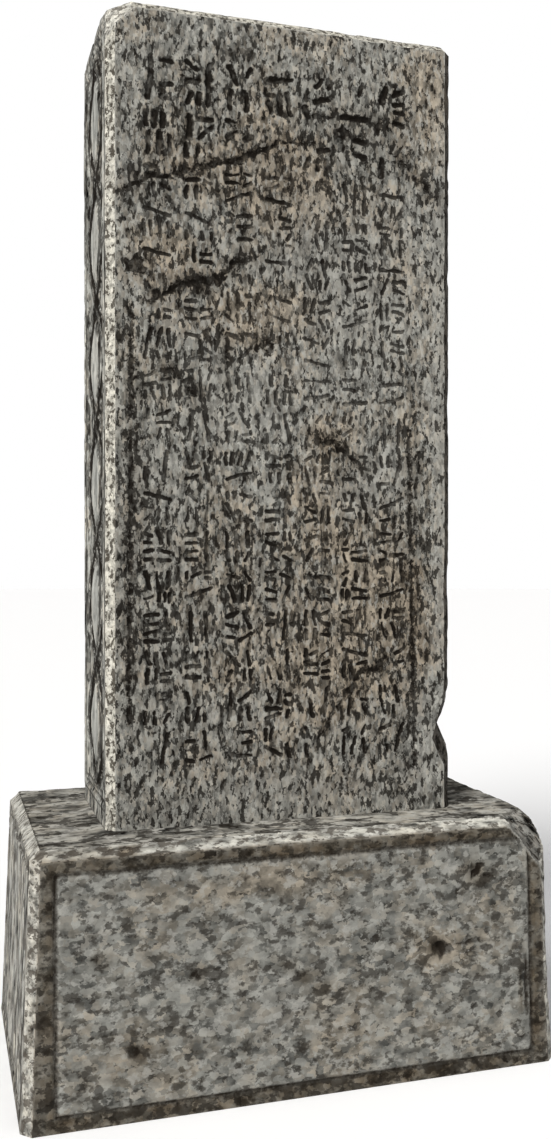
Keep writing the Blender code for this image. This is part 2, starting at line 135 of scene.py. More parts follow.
BASE_PITS = (
    (0.266, 0.505, 0.020),
    (0.338, 0.795, 0.015),
    (0.362, 0.776, 0.010),
    (-0.018, 0.466, 0.008),
    (-0.202, 0.509, 0.008),
    (-0.377, 0.593, 0.008),
    (-0.310, 0.257, 0.014),
)
BASE_CRACKS = (
    (0.008, ((0.291, 0.507), (0.326, 0.520), (0.362, 0.513))),
    (0.012, ((0.438, 0.440), (0.441, 0.330), (0.439, 0.200))),
)

# Panels, their grooves and the two-strand plait of the left side
PANEL_MARGIN = 0.030
PANEL_MARGIN_FOOT = 0.046
BORDER_MARGIN = 0.026
GROOVE_WIDTH = 0.012
GROOVE_DEPTH = 0.005
PLAIT_EYES = 6
PLAIT_STRAND = 0.034
PLAIT_SWING_SHARE = 0.80
PLAIT_RIM = 0.010
PLAIT_DEPTH = 0.008

# Soft zones of the tablet's front: middle across and up, reach across and up, as shares, and strength
WARM_ZONES = (
    (-0.02, 0.80, 0.20, 0.06, 0.9),
    (0.42, 0.90, 0.08, 0.08, 0.8),
    (-0.06, 0.63, 0.14, 0.04, 0.8),
    (0.26, 0.27, 0.15, 0.12, 1.0),
    (0.10, 0.42, 0.10, 0.07, 0.7),
    (-0.33, 0.69, 0.14, 0.04, 0.8),
    (0.02, 0.22, 0.18, 0.10, 0.6),
)
GRIME_ZONES = (
    (-0.43, 0.35, 0.05, 0.28, 0.8),
    (0.38, 0.33, 0.045, 0.20, 1.0),
    (0.20, 0.87, 0.14, 0.04, 0.9),
    (-0.30, 0.20, 0.20, 0.18, 0.5),
    (0.33, 0.12, 0.05, 0.12, 0.6),
    (-0.20, 0.90, 0.22, 0.06, 0.35),
)
PALE_ZONES = (
    (0.46, 0.55, 0.03, 0.34, 1.0),
    (0.0, 0.02, 0.50, 0.035, 0.5),
    (0.20, 0.68, 0.20, 0.10, 0.6),
    (0.25, 0.42, 0.12, 0.05, 0.7),
    (0.43, 0.08, 0.06, 0.07, 0.8),
    (-0.15, 0.52, 0.20, 0.05, 0.4),
)
CALM_ZONES = ((0.0, 0.53, 0.55, 0.14, 0.8), (0.25, 0.75, 0.22, 0.08, 0.5), (-0.25, 0.74, 0.2, 0.03, 0.5))

# Soft zones of the base's front, in metres across and up
BASE_WARM = (
    (0.282, 0.255, 0.060, 0.050, 1.0),
    (-0.10, 0.42, 0.22, 0.03, 0.7),
    (-0.35, 0.10, 0.15, 0.05, 0.5),
    (0.10, 0.15, 0.15, 0.06, 0.4),
)
# The first two pale zones are painted highlights on the lit inner edges of the border at its right and left
# ends. The last is a paler patch of the stone.
BASE_PALE_AND_HIGHLIGHTS = (
    (0.487, 0.19, 0.006, 0.10, 1.0),
    (-0.487, 0.25, 0.006, 0.18, 0.5),
    (-0.05, 0.20, 0.10, 0.05, 0.4),
)
BASE_GRIME = (
    (0.367, 0.400, 0.040, 0.028, 1.0),
    (0.282, 0.262, 0.022, 0.016, 1.0),
    (-0.329, 0.132, 0.035, 0.020, 0.8),
    (-0.035, 0.258, 0.022, 0.016, 0.9),
    (0.000, 0.232, 0.030, 0.018, 0.9),
    (0.030, 0.205, 0.022, 0.014, 0.8),
    (-0.215, 0.261, 0.020, 0.020, 0.7),
    (-0.401, 0.304, 0.035, 0.016, 0.7),
    (0.470, 0.165, 0.006, 0.070, 0.9),
)

# Parts of the outline, in the order of the grid's columns, and the bands of rows
FRONT, FRONT_RIGHT, RIGHT, BACK_RIGHT, BACK, BACK_LEFT, LEFT, FRONT_LEFT = range(8)
SIDE_BAND, ARRIS_BAND, CROWN_BAND = range(3)
ARRIS_STEPS = 4

# The grids: columns on each part of the outline, rows up the side and rows over the top
TABLET_COLUMNS = (176, 4, 30, 4, 60, 4, 64, 4)
TABLET_ROWS = (172, 18)
BASE_COLUMNS = (220, 4, 76, 4, 110, 4, 96, 4)
BASE_ROWS = (90, 24)

# How near a point is to a face that it belongs to, on upright and on leaning faces
ON_UPRIGHT = 1e-5
ON_LEANING = 1e-4

# The depth of the chips along the edges, and the bend from which an edge is drawn sharp
TABLET_CHIPS = 0.0022
BASE_CHIPS = 0.0025
SHARP_ANGLE = math.radians(14)

# A corner's place in a stroke's frame where no stroke is near, and the depth of a finish's relief
NO_STROKE = (9.0, 9.0, 0.0)
BUMP_DEPTH = 0.0015

# The studio's round floor, and the camera at the photograph's angle
FLOOR_SIDES = 64
FLOOR_RADIUS = 40
FLOOR_HEIGHT = -0.0005
CAMERA_LENS = 35.107
CAMERA_PLACE = (-0.6962, -2.3696, 1.0478)
CAMERA_TURN = (1.5630, 0.0, -0.2975)


class Shell:
    """The skin of a block: its points and how far each is from an edge, its faces and the part of the
    outline that each belongs to, its two flat caps, and which points lie on the front."""

    def __init__(self, points, edge, quads, quad_part, triangles, triangle_part, caps, front_points):
        self.points, self.edge = points, edge
        self.quads, self.quad_part = quads, quad_part
        self.triangles, self.triangle_part = triangles, triangle_part
        self.caps, self.front_points = caps, front_points
        self.dressed = points

    def normals(self):
        """The outward normal at every point: the sum of its faces' normals, made a unit vector. A face's
        is the cross product of its diagonals. A triangle's second one ends at its first corner."""
        total = np.zeros_like(self.points)
        for faces in (self.quads, self.triangles):
            corners = self.points[faces]
            last = corners[:, 3 % faces.shape[1]]
            normal = np.cross(corners[:, 2] - corners[:, 0], last - corners[:, 1])
            for corner in faces.T:
                for axis in range(3):
                    total[:, axis] += np.bincount(corner, normal[:, axis], len(total))
        return total / np.maximum(np.linalg.norm(total, axis=1, keepdims=True), 1e-12)

    def lower(self, depth):
        """Sink every point into the stone along its normal. Dressed keeps the shape before that."""
        self.dressed = self.points
        self.points = self.points - self.normals() * depth[:, None]


def ring_points(height, plan, inset, cut, counts):
    """Points on level outlines and how far each is from a corner. An outline is a rectangle drawn in by
    the inset with its corners cut, and each of its eight sides is walked in equal steps."""
    left, right = plan[:, 0] + inset, plan[:, 1] - inset
    front, back = plan[:, 2] + inset, plan[:, 3] - inset
    across = (left + cut, right - cut, right, right, right - cut, left + cut, left, left)
    along = (front, front, front + cut, back - cut, back, back, back - cut, front + cut)
    corners = np.stack([np.stack(across, 1), np.stack(along, 1)], 2)
    side = np.repeat(np.arange(8), counts)
    share = np.concatenate([np.arange(n) / n for n in counts])
    start, end = corners[:, side], corners[:, (side + 1) % 8]
    flat = start + (end - start) * share[None, :, None]
    edge = np.minimum(share, 1 - share) * np.linalg.norm(end - start, axis=2)
    return np.dstack([flat, np.broadcast_to(height[:, None], flat.shape[:2])]), edge


def block_shell(foot, top, low, high, arris, counts, row_counts, inner, fine_front):
    """The skin of a block as a function of two numbers: a place round the outline, and a row.

    The rows go up the side, in over the arris and then inwards over the top, towards an
    inner rectangle, where one flat face closes them. Another closes the foot. A fine
    front has twice the rows, joined to its neighbours by three triangles a row.
    """
    rows, crown_rows = row_counts
    inner, foot, top = np.array(inner), np.array(foot), np.array(top)
    lean = np.linspace(0, 1, rows + 1) * (high - low - arris) / (high - low)
    step = np.arange(1, ARRIS_STEPS + 1) / ARRIS_STEPS
    height = np.concatenate([low + lean * (high - low), high - arris + arris * step])
    inset = np.concatenate([np.zeros(rows + 1), arris * step])
    cut = np.concatenate([np.full(rows + 1, arris), arris * (1 - 0.8 * step)])
    share = ((height - low) / (high - low))[:, None]
    ring, edge = ring_points(height, foot + (top - foot) * share, inset, cut, counts)
    up = height[: rows + 1, None]
    edge[: rows + 1] = np.minimum(np.minimum(edge[: rows + 1], high - arris - up), up - low + 0.002)
    edge[rows + 1 :] = np.minimum(edge[rows + 1 :], (arris * np.minimum(step, 1 - step))[:, None])

    rim = ring[-1]
    box = top + np.array([arris, -arris, arris, -arris])
    goal = np.array(rim)
    shares = (rim[:, :2] - box[[0, 2]]) / (box[[1, 3]] - box[[0, 2]])
    goal[:, :2] = inner[[0, 2]] + shares * (inner[[1, 3]] - inner[[0, 2]])
    top_rows = rim + (goal - rim) * (np.arange(1, crown_rows + 1) / crown_rows)[:, None, None]
    flat = top_rows[:, :, :2]
    grid = np.concatenate([ring, top_rows])
    edge = np.concatenate([edge, np.minimum(flat - box[[0, 2]], box[[1, 3]] - flat).min(axis=2)])

    numbers = np.arange(grid.shape[0] * grid.shape[1]).reshape(grid.shape[:2])
    after = np.roll(numbers, -1, axis=1)
    quads = np.stack([numbers[:-1], after[:-1], after[1:], numbers[1:]], 2)
    band = np.repeat((SIDE_BAND, ARRIS_BAND, CROWN_BAND), (rows, ARRIS_STEPS, crown_rows))
    part = band[:, None] * 8 + np.repeat(np.arange(8), counts)
    front = numbers[: rows + 1, : counts[0] + 1]
    on_front = front.ravel()
    points, edges = grid.reshape(-1, 3), edge.ravel()
    keep = np.ones(part.shape, bool)
    more_quads, triangles, triangle_part = [], np.zeros((0, 3), int), np.zeros(0, int)
    if fine_front:
        width = counts[0] + 1
        half = len(points) + np.arange(rows * width).reshape(rows, width)
        middle = (grid[:rows, :width] + grid[1 : rows + 1, :width]) / 2
        middle_edge = (edge[:rows, :width] + edge[1 : rows + 1, :width]) / 2
        points = np.concatenate([points, middle.reshape(-1, 3)])
        edges = np.concatenate([edges, middle_edge.ravel()])
        on_front = np.concatenate([on_front, half.ravel()])
        keep[:rows, :width] = False
        keep[:rows, -1] = False
        for lower, upper in ((front[:-1], half), (half, front[1:])):
            corners = (lower[:, :-1], lower[:, 1:], upper[:, 1:], upper[:, :-1])
            more_quads.append(np.stack(corners, 2).reshape(-1, 4))
        below, above = front[:-1], front[1:]
        right, left = numbers[: rows + 1, width], numbers[: rows + 1, -1]
        fans = (
            (below[:, -1], right[:-1], half[:, -1]),
            (half[:, -1], right[:-1], right[1:]),
            (half[:, -1], right[1:], above[:, -1]),
            (left[:-1], below[:, 0], half[:, 0]),
            (left[:-1], half[:, 0], left[1:]),
            (left[1:], half[:, 0], above[:, 0]),
        )
        triangles = np.concatenate([np.stack(corners, 1) for corners in fans])
        triangle_part = np.repeat((FRONT_RIGHT, FRONT_LEFT), 3 * rows)
    quads = np.concatenate([quads[keep], *more_quads])
    quad_part = np.concatenate([part[keep], np.full(len(quads) - keep.sum(), FRONT)])
    front_points = np.zeros(len(points), bool)
    front_points[on_front] = True
    caps = [numbers[-1].tolist(), numbers[0, ::-1].tolist()]
    return Shell(points, edges, quads, quad_part, triangles, triangle_part, caps, front_points)


def break_corner(shell, corner, inward, facets, cell):
    """Move the points beyond each facet's plane straight onto it, and draw the points that lie within
    half a cell of its edge along their own face onto that edge. Marks the points on the facets."""
    broken = np.zeros(len(shell.points), bool)
    inward = np.array(inward, float)
    corner = np.array(corner, float)
    for reaches in facets:
        normal = -inward / np.array(reaches)
        normal /= np.linalg.norm(normal)
        anchor = corner + np.array([inward[0] * reaches[0], 0, 0])
        face_normal = shell.normals()
        distance = (shell.points - anchor) @ normal
        slide = normal - face_normal * (face_normal @ normal)[:, None]
        size = (slide**2).sum(axis=1)
        near = (np.abs(distance) < cell / 2 * np.sqrt(size)) & (size > 0.1)
        move = slide * (distance / np.maximum(size, 1e-6))[:, None]
        shell.points[near] -= move[near]
        beyond = (distance > 0) & ~near
        shell.points[beyond] -= normal * distance[beyond][:, None]
        broken |= beyond
        away = np.abs(distance) / np.sqrt(np.maximum(size, 0.05))
        shell.edge = np.where(beyond, shell.edge, np.minimum(shell.edge, away))
    shell.edge[broken] = np.abs(shell.points[broken] - corner).min(axis=1)
    return broken


def notch_limit(along, height):
    """How far right the stone reaches at a depth and height: the nearest wall of either wedge, where a
    wall is the valley's place plus the height above or below the valley over the wall's slope."""
    limit = np.full(np.shape(along), np.inf)
    for start, run, above, below in NOTCH_WEDGES:
        behind = along - TABLET_LOW.y - start[1]
        valley = TABLET_HIGH.x - start[0] + behind * run[0] / run[1]
        rise = height - (TABLET_LOW.z + start[2] + behind * run[2] / run[1])
        limit = np.minimum(limit, valley + np.maximum(rise / above, -rise / below))
    return limit


def cut_notch(shell):
    """Draw the front's right end in to the notch's outline, and everything else in to its walls."""
    x, y, z = shell.points.T
    right = TABLET_HIGH.x - TABLET_ARRIS
    start = right - NOTCH_SPREAD
    edge = np.minimum(right, notch_limit(np.full(len(x), TABLET_LOW.y), z))
    share = np.clip((x - start) / (right - start), 0, None)
    drawn = np.where(x > start, start + share * (edge - start), x)
    limit = notch_limit(y, z)
    bitten = ~shell.front_points & (x > limit + 1e-5)
    shell.points[:, 0] = np.where(shell.front_points, drawn, np.minimum(x, limit))
    return bitten


def corner_value(x, y, z, seed):
    """A number from 0 to 1 for each corner of a lattice of whole numbers."""
    mixed = (x * 73856093) ^ (y * 19349663) ^ (z * 83492791) ^ (seed * 2654435761)
    mixed = (mixed ^ (mixed >> 13)) * 1274126177 & 0xFFFFFFFF
    return ((mixed ^ (mixed >> 16)) & 0xFFFF) / 65535.0


def smooth_noise(points, size, seed, octaves=1):
    """Lattice noise from 0 to 1: corner values blended with 3t^2 - 2t^3 in each cell, with each further
    octave at half the size and half the weight."""
    total = np.zeros(len(points))
    for octave in range(octaves):
        place = points / size * 2**octave + 17.3 * octave
        cell = np.floor(place).astype(np.int64)
        t = place - cell
        t = t * t * (3 - 2 * t)
        for corner in range(8):
            step = np.array([corner & 1, corner >> 1 & 1, corner >> 2 & 1])
            weight = np.where(step, t, 1 - t).prod(axis=1)
            total += weight * corner_value(*(cell + step).T, seed + octave) / 2**octave
    return total / (2 - 2 / 2**octaves)


def wobble(points, size, seed, octaves=3):
    """Smooth noise about 0."""
    return smooth_noise(points, size, seed, octaves) - 0.5


def ease(value, low, high):
    """0 at low and 1 at high, with 3t^2 - 2t^3 between. Low may be above high."""
    t = np.clip((value - low) / (high - low), 0, 1)
    return t * t * (3 - 2 * t)


def cell_parts(rng, cell, cuts):
    """Divide a (left, low, right, high) cell by up to cuts cuts in a row, mostly across its longer side."""
    if cuts == 0 or (cuts < MARK_CUTS and rng.random() < WHOLE_PARTS):
        return [cell]
    left, low, right, high = cell
    share = rng.uniform(0.32, 0.68)
    if (right - left) > (high - low) * rng.uniform(0.5, 1.3):
        middle = left + (right - left) * share
        halves = (left, low, middle, high), (middle, low, right, high)
    else:
        middle = low + (high - low) * share
        halves = (left, low, right, middle), (left, middle, right, high)
    return cell_parts(rng, halves[0], cuts - 1) + cell_parts(rng, halves[1], cuts - 1)


def mark_strokes(rng, cell, stroke):
    """One slanted stroke for each part of a cell, as (across, along, across, along, width)."""
    strokes = []
    room = stroke * STROKE_ROOM
    for left, low, right, high in cell_parts(rng, cell, MARK_CUTS):
        left, low, right, high = left + room, low + room, right - room, high - room
        width, height = right - left, high - low
        lean = rng.uniform(-0.5, 0.5)
        worn = rng.random() < WORN_STROKES
        size = stroke * rng.uniform(0.75, 1.0)
        if height >= width:
            middle, reach = (left + right) / 2, max(width, 0.0) * lean
            ends = (middle - reach, low, middle + reach, high)
        else:
            middle, reach = (low + high) / 2, max(height, 0.0) * lean
            ends = (left, middle - reach, right, middle + reach)
        if not worn and max(width, height) > stroke:
            strokes.append((*ends, size))
    return strokes


def text_rows():
    """The rows from the top: (low edge, mark width, mark height, stroke width)."""
    rows = []
    top = HEIGHT - TEXT_MARGIN_TOP
    while True:
        width, height, stroke = HEAD_MARK if len(rows) < HEAD_ROWS else BODY_MARK
        if top - height < TEXT_MARGIN_FOOT:
            return rows
        rows.append((top - height, width, height, stroke))
        top -= height + MARK_GAP


def inscription():
    """All the strokes that no crack or pit has taken away, a row each, measured from the front's foot."""
    rng = random.Random(INSCRIPTION_SEED)
    left_edge = -WIDTH / 2 + TEXT_MARGIN_LEFT
    room = WIDTH - TEXT_MARGIN_LEFT - TEXT_MARGIN_RIGHT
    strokes = []
    for low, width, height, stroke in text_rows():
        count = int((room + MARK_GAP) / (width + MARK_GAP))
        for index in range(count):
            left = left_edge + index * (room - width) / max(count - 1, 1)
            strokes += mark_strokes(rng, (left, low, left + width, low + height), stroke)
    strokes = np.array(strokes)
    first, last, width = strokes[:, :2], strokes[:, 2:4], strokes[:, 4]
    places = np.concatenate([first, last, (first + last) / 2])
    flaws = [(line_distance(places, *line[:2])[0], line[4] / 2) for line in crack_lines(CRACKS, FRONT_SIZE)]
    for across, along, radius in PITS:
        flaws.append((np.linalg.norm(places - (across, along) * FRONT_SIZE, axis=1), radius))
    clear = [away.reshape(3, -1).min(axis=0) >= reach + width for away, reach in flaws]
    return strokes[np.all(clear, axis=0)]


def line_distance(places, start, end):
    """Distance from each place to a line between two points, and the share along it of the nearest point."""
    start, end = np.array(start), np.array(end)
    along = end - start
    share = np.clip(((places - start) @ along) / (along @ along), 0, 1)
    return np.linalg.norm(places - start - along * share[:, None], axis=1), share


def crack_lines(cracks, scale):
    """The straight lengths of each crack with the widths at their ends, which swell from a hair at a
    crack's ends to its full width between: (start, end, start width, end width, full width)."""
    lines = []
    for width, path in cracks:
        last = len(path) - 1
        swell = [width * (0.3 + 0.7 * math.sin(math.pi * k / last)) for k in range(last + 1)]
        places = np.array(path) * scale
        lines += [(places[k], places[k + 1], swell[k], swell[k + 1], width) for k in range(last)]
    return lines


def crack_distance(places, cracks, scale, wander):
    """How far each place is outside the nearest crack, below 0 inside it, and that crack's half width.
    Wander bends the places first, so that a crack doesn't run straight between its points."""
    nearest = np.full(len(places), 1.0)
    half = np.full(len(places), 0.001)
    for start, end, start_width, end_width, _ in crack_lines(cracks, scale):
        away, share = line_distance(places + wander, start, end)
        reach = (start_width + (end_width - start_width) * share) / 2
        half = np.where(away - reach < nearest, reach, half)
        nearest = np.minimum(nearest, away - reach)
    return nearest, half


def pit_distance(places, pits, scale, uneven):
    """How far each place is outside the nearest pit as a share of its radius, and that radius. Uneven,
    a number about 1 for each place, makes the rims irregular."""
    nearest = np.full(len(places), 9.0)
    radius_there = np.full(len(places), 0.001)
    for across, along, radius in pits:
        away = np.linalg.norm(places - (across, along) * scale, axis=1) / (radius * uneven)
        radius_there = np.where(away < nearest, radius, radius_there)
        nearest = np.minimum(nearest, away)
    return nearest, radius_there


def frame_distance(across, along, half_width, low, high):
    """How far outside a rectangle's outline a place is, below 0 inside it, along the nearer axis, and its
    distance to the outline. The rectangle is half_width to either side, from low to high."""
    beside = np.abs(across) - half_width
    over = np.abs(along - (low + high) / 2) - (high - low) / 2
    outside = np.maximum(beside, over)
    corner = np.hypot(np.maximum(beside, 0), np.maximum(over, 0))
    return outside, np.abs(np.minimum(outside, 0) + corner)


def zones(places, spots, bend):
    """The strongest of some soft oval spots at each place, 1 times its strength in the middle."""
    strength = np.zeros(len(places))
    for across, along, reach_across, reach_along, amount in spots:
        away = np.hypot((places[:, 0] - across) / reach_across, (places[:, 1] - along) / reach_along)
        strength = np.maximum(strength, amount * ease(away + bend, 1.5, 0.3))
    return strength


def panel_box(across):
    """Half width, foot and head of the panel on a side of the tablet that is across wide."""
    half_width = across / 2 - TABLET_ARRIS / 2 - PANEL_MARGIN
    return half_width, PANEL_MARGIN_FOOT, HEIGHT - TABLET_ARRIS - PANEL_MARGIN


def plait_sizes():
    """The plait's rim, swing, foot and pitch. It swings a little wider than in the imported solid."""
    half_width, foot, head = panel_box(DEPTH)
    low, high = foot + GROOVE_WIDTH / 2 + PLAIT_RIM, head - GROOVE_WIDTH / 2 - PLAIT_RIM
    rim = half_width - GROOVE_WIDTH / 2 - PLAIT_RIM
    return rim, rim * PLAIT_SWING_SHARE, low, (high - low) / PLAIT_EYES


def plait_relief(across, along):
    """How far the left side is sunk round two strands whose middles swing as plus and minus swing times
    cos(pi * step / pitch), and where the panel is. A strand is round, and the one on top dips least at
    each crossing. A boss fills each eye."""
    rim, swing, low, pitch = plait_sizes()
    turn = math.pi * (along - low - pitch / 2) / pitch
    lean = np.hypot(1, swing * math.pi / pitch * np.sin(turn))
    half = PLAIT_STRAND / 2
    distances = [np.abs(across - way * swing * np.cos(turn)) / lean for way in (1, -1)]
    inside = ease(rim - np.abs(across), 0, 0.006) * ease(along - low, -0.01, 0.0)
    inside *= ease(low + pitch * PLAIT_EYES - along, -0.01, 0.0)
    crossing = np.floor((along - low) / pitch + 0.5).astype(int) % 2
    nearest = np.minimum(*distances)
    eye = (nearest > half) & (np.abs(across) < swing * np.abs(np.cos(turn)))
    raised = 0.75 * ease(nearest - half, 0.002, 0.020) * eye
    for distance, under in zip(distances, (crossing, 1 - crossing)):
        raised = np.maximum(raised, np.clip(1 - (distance / half) ** 2, 0, 1) ** 0.5 - 0.25 * under)
    return inside * PLAIT_DEPTH * (1 - np.clip(raised, 0, 1)), inside


def stroke_sink(places, strokes, depth_share):
    """How deep the strokes cut at each place: each is a trough of its depth times (1 - (d/w)^2)^2 to
    one and a half half-widths w from its line, which the grid can carry without stepping."""
    sink = np.zeros(len(places))
    order = np.argsort(places[:, 1], kind="stable")
    heights = places[order, 1]
    for x0, z0, x1, z1, width in strokes:
        begin, end = np.searchsorted(heights, (min(z0, z1) - width, max(z0, z1) + width))
        near = order[begin:end]
        near = near[(places[near, 0] > min(x0, x1) - width) & (places[near, 0] < max(x0, x1) + width)]
        away, _ = line_distance(places[near], (x0, z0), (x1, z1))
        reach = np.clip(1 - (away / (width * 0.75)) ** 2, 0, 1) ** 2
        sink[near] = np.maximum(sink[near], reach * width * depth_share)
    return sink


def stroke_places(corners, strokes):
    """Each face corner's place in the frame of the stroke nearest its face's middle, in half widths:
    across the stroke, along it from its middle, and half its length."""
    along = strokes[:, 2:4] - strokes[:, :2]
    length = np.linalg.norm(along, axis=1)
    middle, way = (strokes[:, :2] + strokes[:, 2:4]) / 2, along / length[:, None]
    reach, half = length / 2, strokes[:, 4] / 2
    nearest = np.zeros(len(corners), int)
    places = corners.mean(axis=1)
    for begin in range(0, len(places), 4096):
        offset = places[begin : begin + 4096, None] - middle
        lengthwise = np.abs((offset * way).sum(axis=2))
        crosswise = np.abs(offset[..., 1] * way[:, 0] - offset[..., 0] * way[:, 1])
        away = np.hypot(np.maximum(lengthwise - reach, 0), crosswise) - half
        nearest[begin : begin + 4096] = away.argmin(axis=1)
    offset, way = corners - middle[nearest, None], way[nearest, None]
    lengthwise = (offset * way).sum(axis=2)
    crosswise = offset[..., 1] * way[..., 0] - offset[..., 0] * way[..., 1]
    reach = np.broadcast_to(reach[nearest, None], crosswise.shape)
    return np.stack([crosswise, lengthwise, reach], 2) / half[nearest, None, None]


def make_piece(name, shell, looks, settings, part_material, attributes, node):
    """Put a shell into a mesh with its finishes and attributes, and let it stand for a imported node. Its
    sharp edges are those of the dressed shape, before anything is sunk into it."""
    faces = shell.quads.tolist() + shell.triangles.tolist() + shell.caps
    mesh = bpy.data.meshes.new(name)
    mesh.from_pydata(shell.dressed.tolist(), [], faces)
    for label, changes in looks.items():
        mesh.materials.append(stone_material(label, settings, changes))
    mesh.polygons.foreach_set("material_index", part_material)
    mesh.polygons.foreach_set("use_smooth", np.ones(len(faces), bool))
    for label, values in attributes.items():
        number = values.ndim == 1
        kind, domain = ("FLOAT", "POINT") if number else ("FLOAT_VECTOR", "CORNER")
        layer = mesh.attributes.new(label, kind, domain)
        layer.data.foreach_set("value" if number else "vector", values.astype(np.float32).ravel())
    mesh.set_sharp_from_angle(angle=SHARP_ANGLE)
    mesh.vertices.foreach_set("co", shell.points.astype(np.float32).ravel())
    mesh.update()
    piece = bpy.data.objects.new(name, mesh)
    bpy.context.scene.collection.objects.link(piece)
    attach(piece, "root")
    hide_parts(node)


class Value:
    """A shader socket to work with like a number: each operation adds a node and gives its output."""

    def __init__(self, socket):
        self.socket = socket
        self.tree = socket.id_data

    def __add__(self, other):
        return calc("ADD", self, other)

    def __sub__(self, other):
        return calc("SUBTRACT", self, other)

    def __mul__(self, other):
        return calc("MULTIPLY", self, other)

    def __rtruediv__(self, other):
        return calc("DIVIDE", other, self)

    def __abs__(self):
        return calc("ABSOLUTE", self)

    def parts(self, kind="XYZ"):
        """The three numbers of a vector or, with the kind Color, of a colour."""
        node = self.tree.nodes.new("ShaderNodeSeparate" + kind)
        feed(node.inputs[0], self)
        return [Value(socket) for socket in node.outputs]

    def vector(self, operation, *others):
        """A Vector Math node on this and others."""
        inputs = dict(enumerate((self, *others)))
        return add_node(self.tree, "ShaderNodeVectorMath", inputs, operation=operation)

    def noise(self, scale, detail, roughness, output=0):
        """Noise at this place."""
        inputs = {"Vector": self, "Scale": scale, "Detail": detail, "Roughness": roughness}
        return add_node(self.tree, "ShaderNodeTexNoise", inputs, output)

    def span(self, low, high, to_low=0.0, to_high=1.0):
        """Ease from one number to another as this goes from low to high."""
        inputs = {"Value": self, "From Min": low, "From Max": high, "To Min": to_low, "To Max": to_high}
        return add_node(self.tree, "ShaderNodeMapRange", inputs, interpolation_type="SMOOTHSTEP")

    def blend(self, first, second, way="MIX"):
        """Blend two colours with this as the second one's share."""
        inputs = {0: self, 6: first, 7: second}
        return add_node(self.tree, "ShaderNodeMix", inputs, 2, data_type="RGBA", blend_type=way)


def feed(socket, value):
    """Link a value to a socket, or set the socket to a plain number, tuple or colour."""
    if isinstance(value, Value):
        value.tree.links.new(value.socket, socket)
    else:
        socket.default_value = value


def add_node(tree, kind, inputs=(), output=0, **settings):
    """Add a node, set it, feed its inputs and give one of its outputs."""
    node = tree.nodes.new(kind)
    for key, value in settings.items():
        setattr(node, key, value)
    for key, value in dict(inputs).items():
        feed(node.inputs[key], value)
    return Value(node.outputs[output])


def calc(operation, *values, clamp=False):
    """A Math node on values and plain numbers."""
    tree = next(value.tree for value in values if isinstance(value, Value))
    return add_node(tree, "ShaderNodeMath", dict(enumerate(values)), operation=operation, use_clamp=clamp)


def most(first, *others):
    """The largest of some values."""
    for other in others:
        first = calc("MAXIMUM", first, other)
    return first


def new_group(name, defaults):
    """Begin a node group and give its inputs. One without a default is a vector, and one with a tuple
    for it is a colour."""
    tree = bpy.data.node_groups.new(name, "ShaderNodeTree")
    for label, value in defaults.items():
        kind = "Vector" if value is None else "Color" if isinstance(value, tuple) else "Float"
        socket = tree.interface.new_socket(label, in_out="INPUT", socket_type="NodeSocket" + kind)
        if value is not None:
            socket.default_value = value
    source = tree.nodes.new("NodeGroupInput").outputs
    return [Value(source[label]) for label in defaults]


def close_group(results):
    """End a node group with its named outputs."""
    tree = next(iter(results.values())).tree
    for label, value in results.items():
        kind = "Color" if value.socket.type == "RGBA" else "Float"
        tree.interface.new_socket(label, in_out="OUTPUT", socket_type="NodeSocket" + kind)
    sockets = tree.nodes.new("NodeGroupOutput").inputs
    for label, value in results.items():
        feed(sockets[label], value)


def place_group(tree, name, inputs):
    """Place a shared node group, feed its inputs and give its outputs by their names."""
    node = tree.nodes.new("ShaderNodeGroup")
    node.node_tree = bpy.data.node_groups[name]
    for label, value in inputs.items():
        feed(node.inputs[label], value)
    return {socket.name: Value(socket) for socket in node.outputs}


def grain_group():
    """Granite: angular crystals of flat tone over softer blotches, and dark and pale grains that keep to
    the crystals' outlines. Size is a crystal's size."""
    defaults = {"Position": None, "Size": 0.01, "Dark Level": 0.42, "Pale Level": 0.60, "Softness": 0.03}
    position, size, dark_level, pale_level, softness = new_group("granite_grain", defaults)
    scale = 1.0 / size
    bent = position.noise(scale * 1.4, 2.0, 0.6, 1).vector("MULTIPLY_ADD", size * 1.1, position)
    crystals = {"Vector": bent, "Scale": scale}
    crystal = add_node(size.tree, "ShaderNodeTexVoronoi", crystals, 1, feature="F1", distance="CHEBYCHEV")
    first, second, third = crystal.parts("Color")
    tone = first * 0.55 + position.noise(scale * 0.4, 3.0, 0.6).span(0.34, 0.66) * 0.45
    masks = []
    for offset, part, level, way in (
        ((3.1, 1.7, 5.3), second, dark_level, 1.0),
        ((8.4, 2.2, 0.6), third, pale_level, -1.0),
    ):
        grain = (part - 0.5) * 0.14 + position.vector("ADD", offset).noise(scale * 0.58, 3.0, 0.6)
        edge = softness * way
        masks.append(grain.span(level + edge, level - edge))
    dark, pale = masks
    height = dark * -0.7 + tone * 0.5
    close_group({"Tone": tone, "Warm": second, "Dark": dark, "Pale": pale, "Height": height})


def colour_group():
    """Stone colour: cool to warm by warmth, made lighter or darker by tone, then pale and dark masks laid
    over it: grains, worn edges, dirt and painted shade in the hollows, and painted highlights by the base's
    grooves.
    """
    defaults = {
        "Tone": 0.5,
        "Contrast": 0.7,
        "Warmth": 0.3,
        "Pale": 0.0,
        "Dark": 0.0,
        "Cool Colour": (0.2, 0.2, 0.19, 1),
        "Warm Colour": (0.24, 0.2, 0.15, 1),
        "Pale Colour": (0.4, 0.4, 0.38, 1),
        "Dark Colour": (0.03, 0.025, 0.02, 1),
    }
    tone, contrast, warmth, pale, dark, *colours = new_group("stone_colour", defaults)
    cool_colour, warm_colour, pale_colour, dark_colour = colours
    shade = (tone - 0.5) * contrast * 2.0 + 1.0
    ground = {0: warmth.blend(cool_colour, warm_colour), "Scale": shade}
    ground = add_node(tone.tree, "ShaderNodeVectorMath", ground, operation="SCALE")
    close_group({"Colour": dark.blend(pale.blend(ground, pale_colour), dark_colour)})


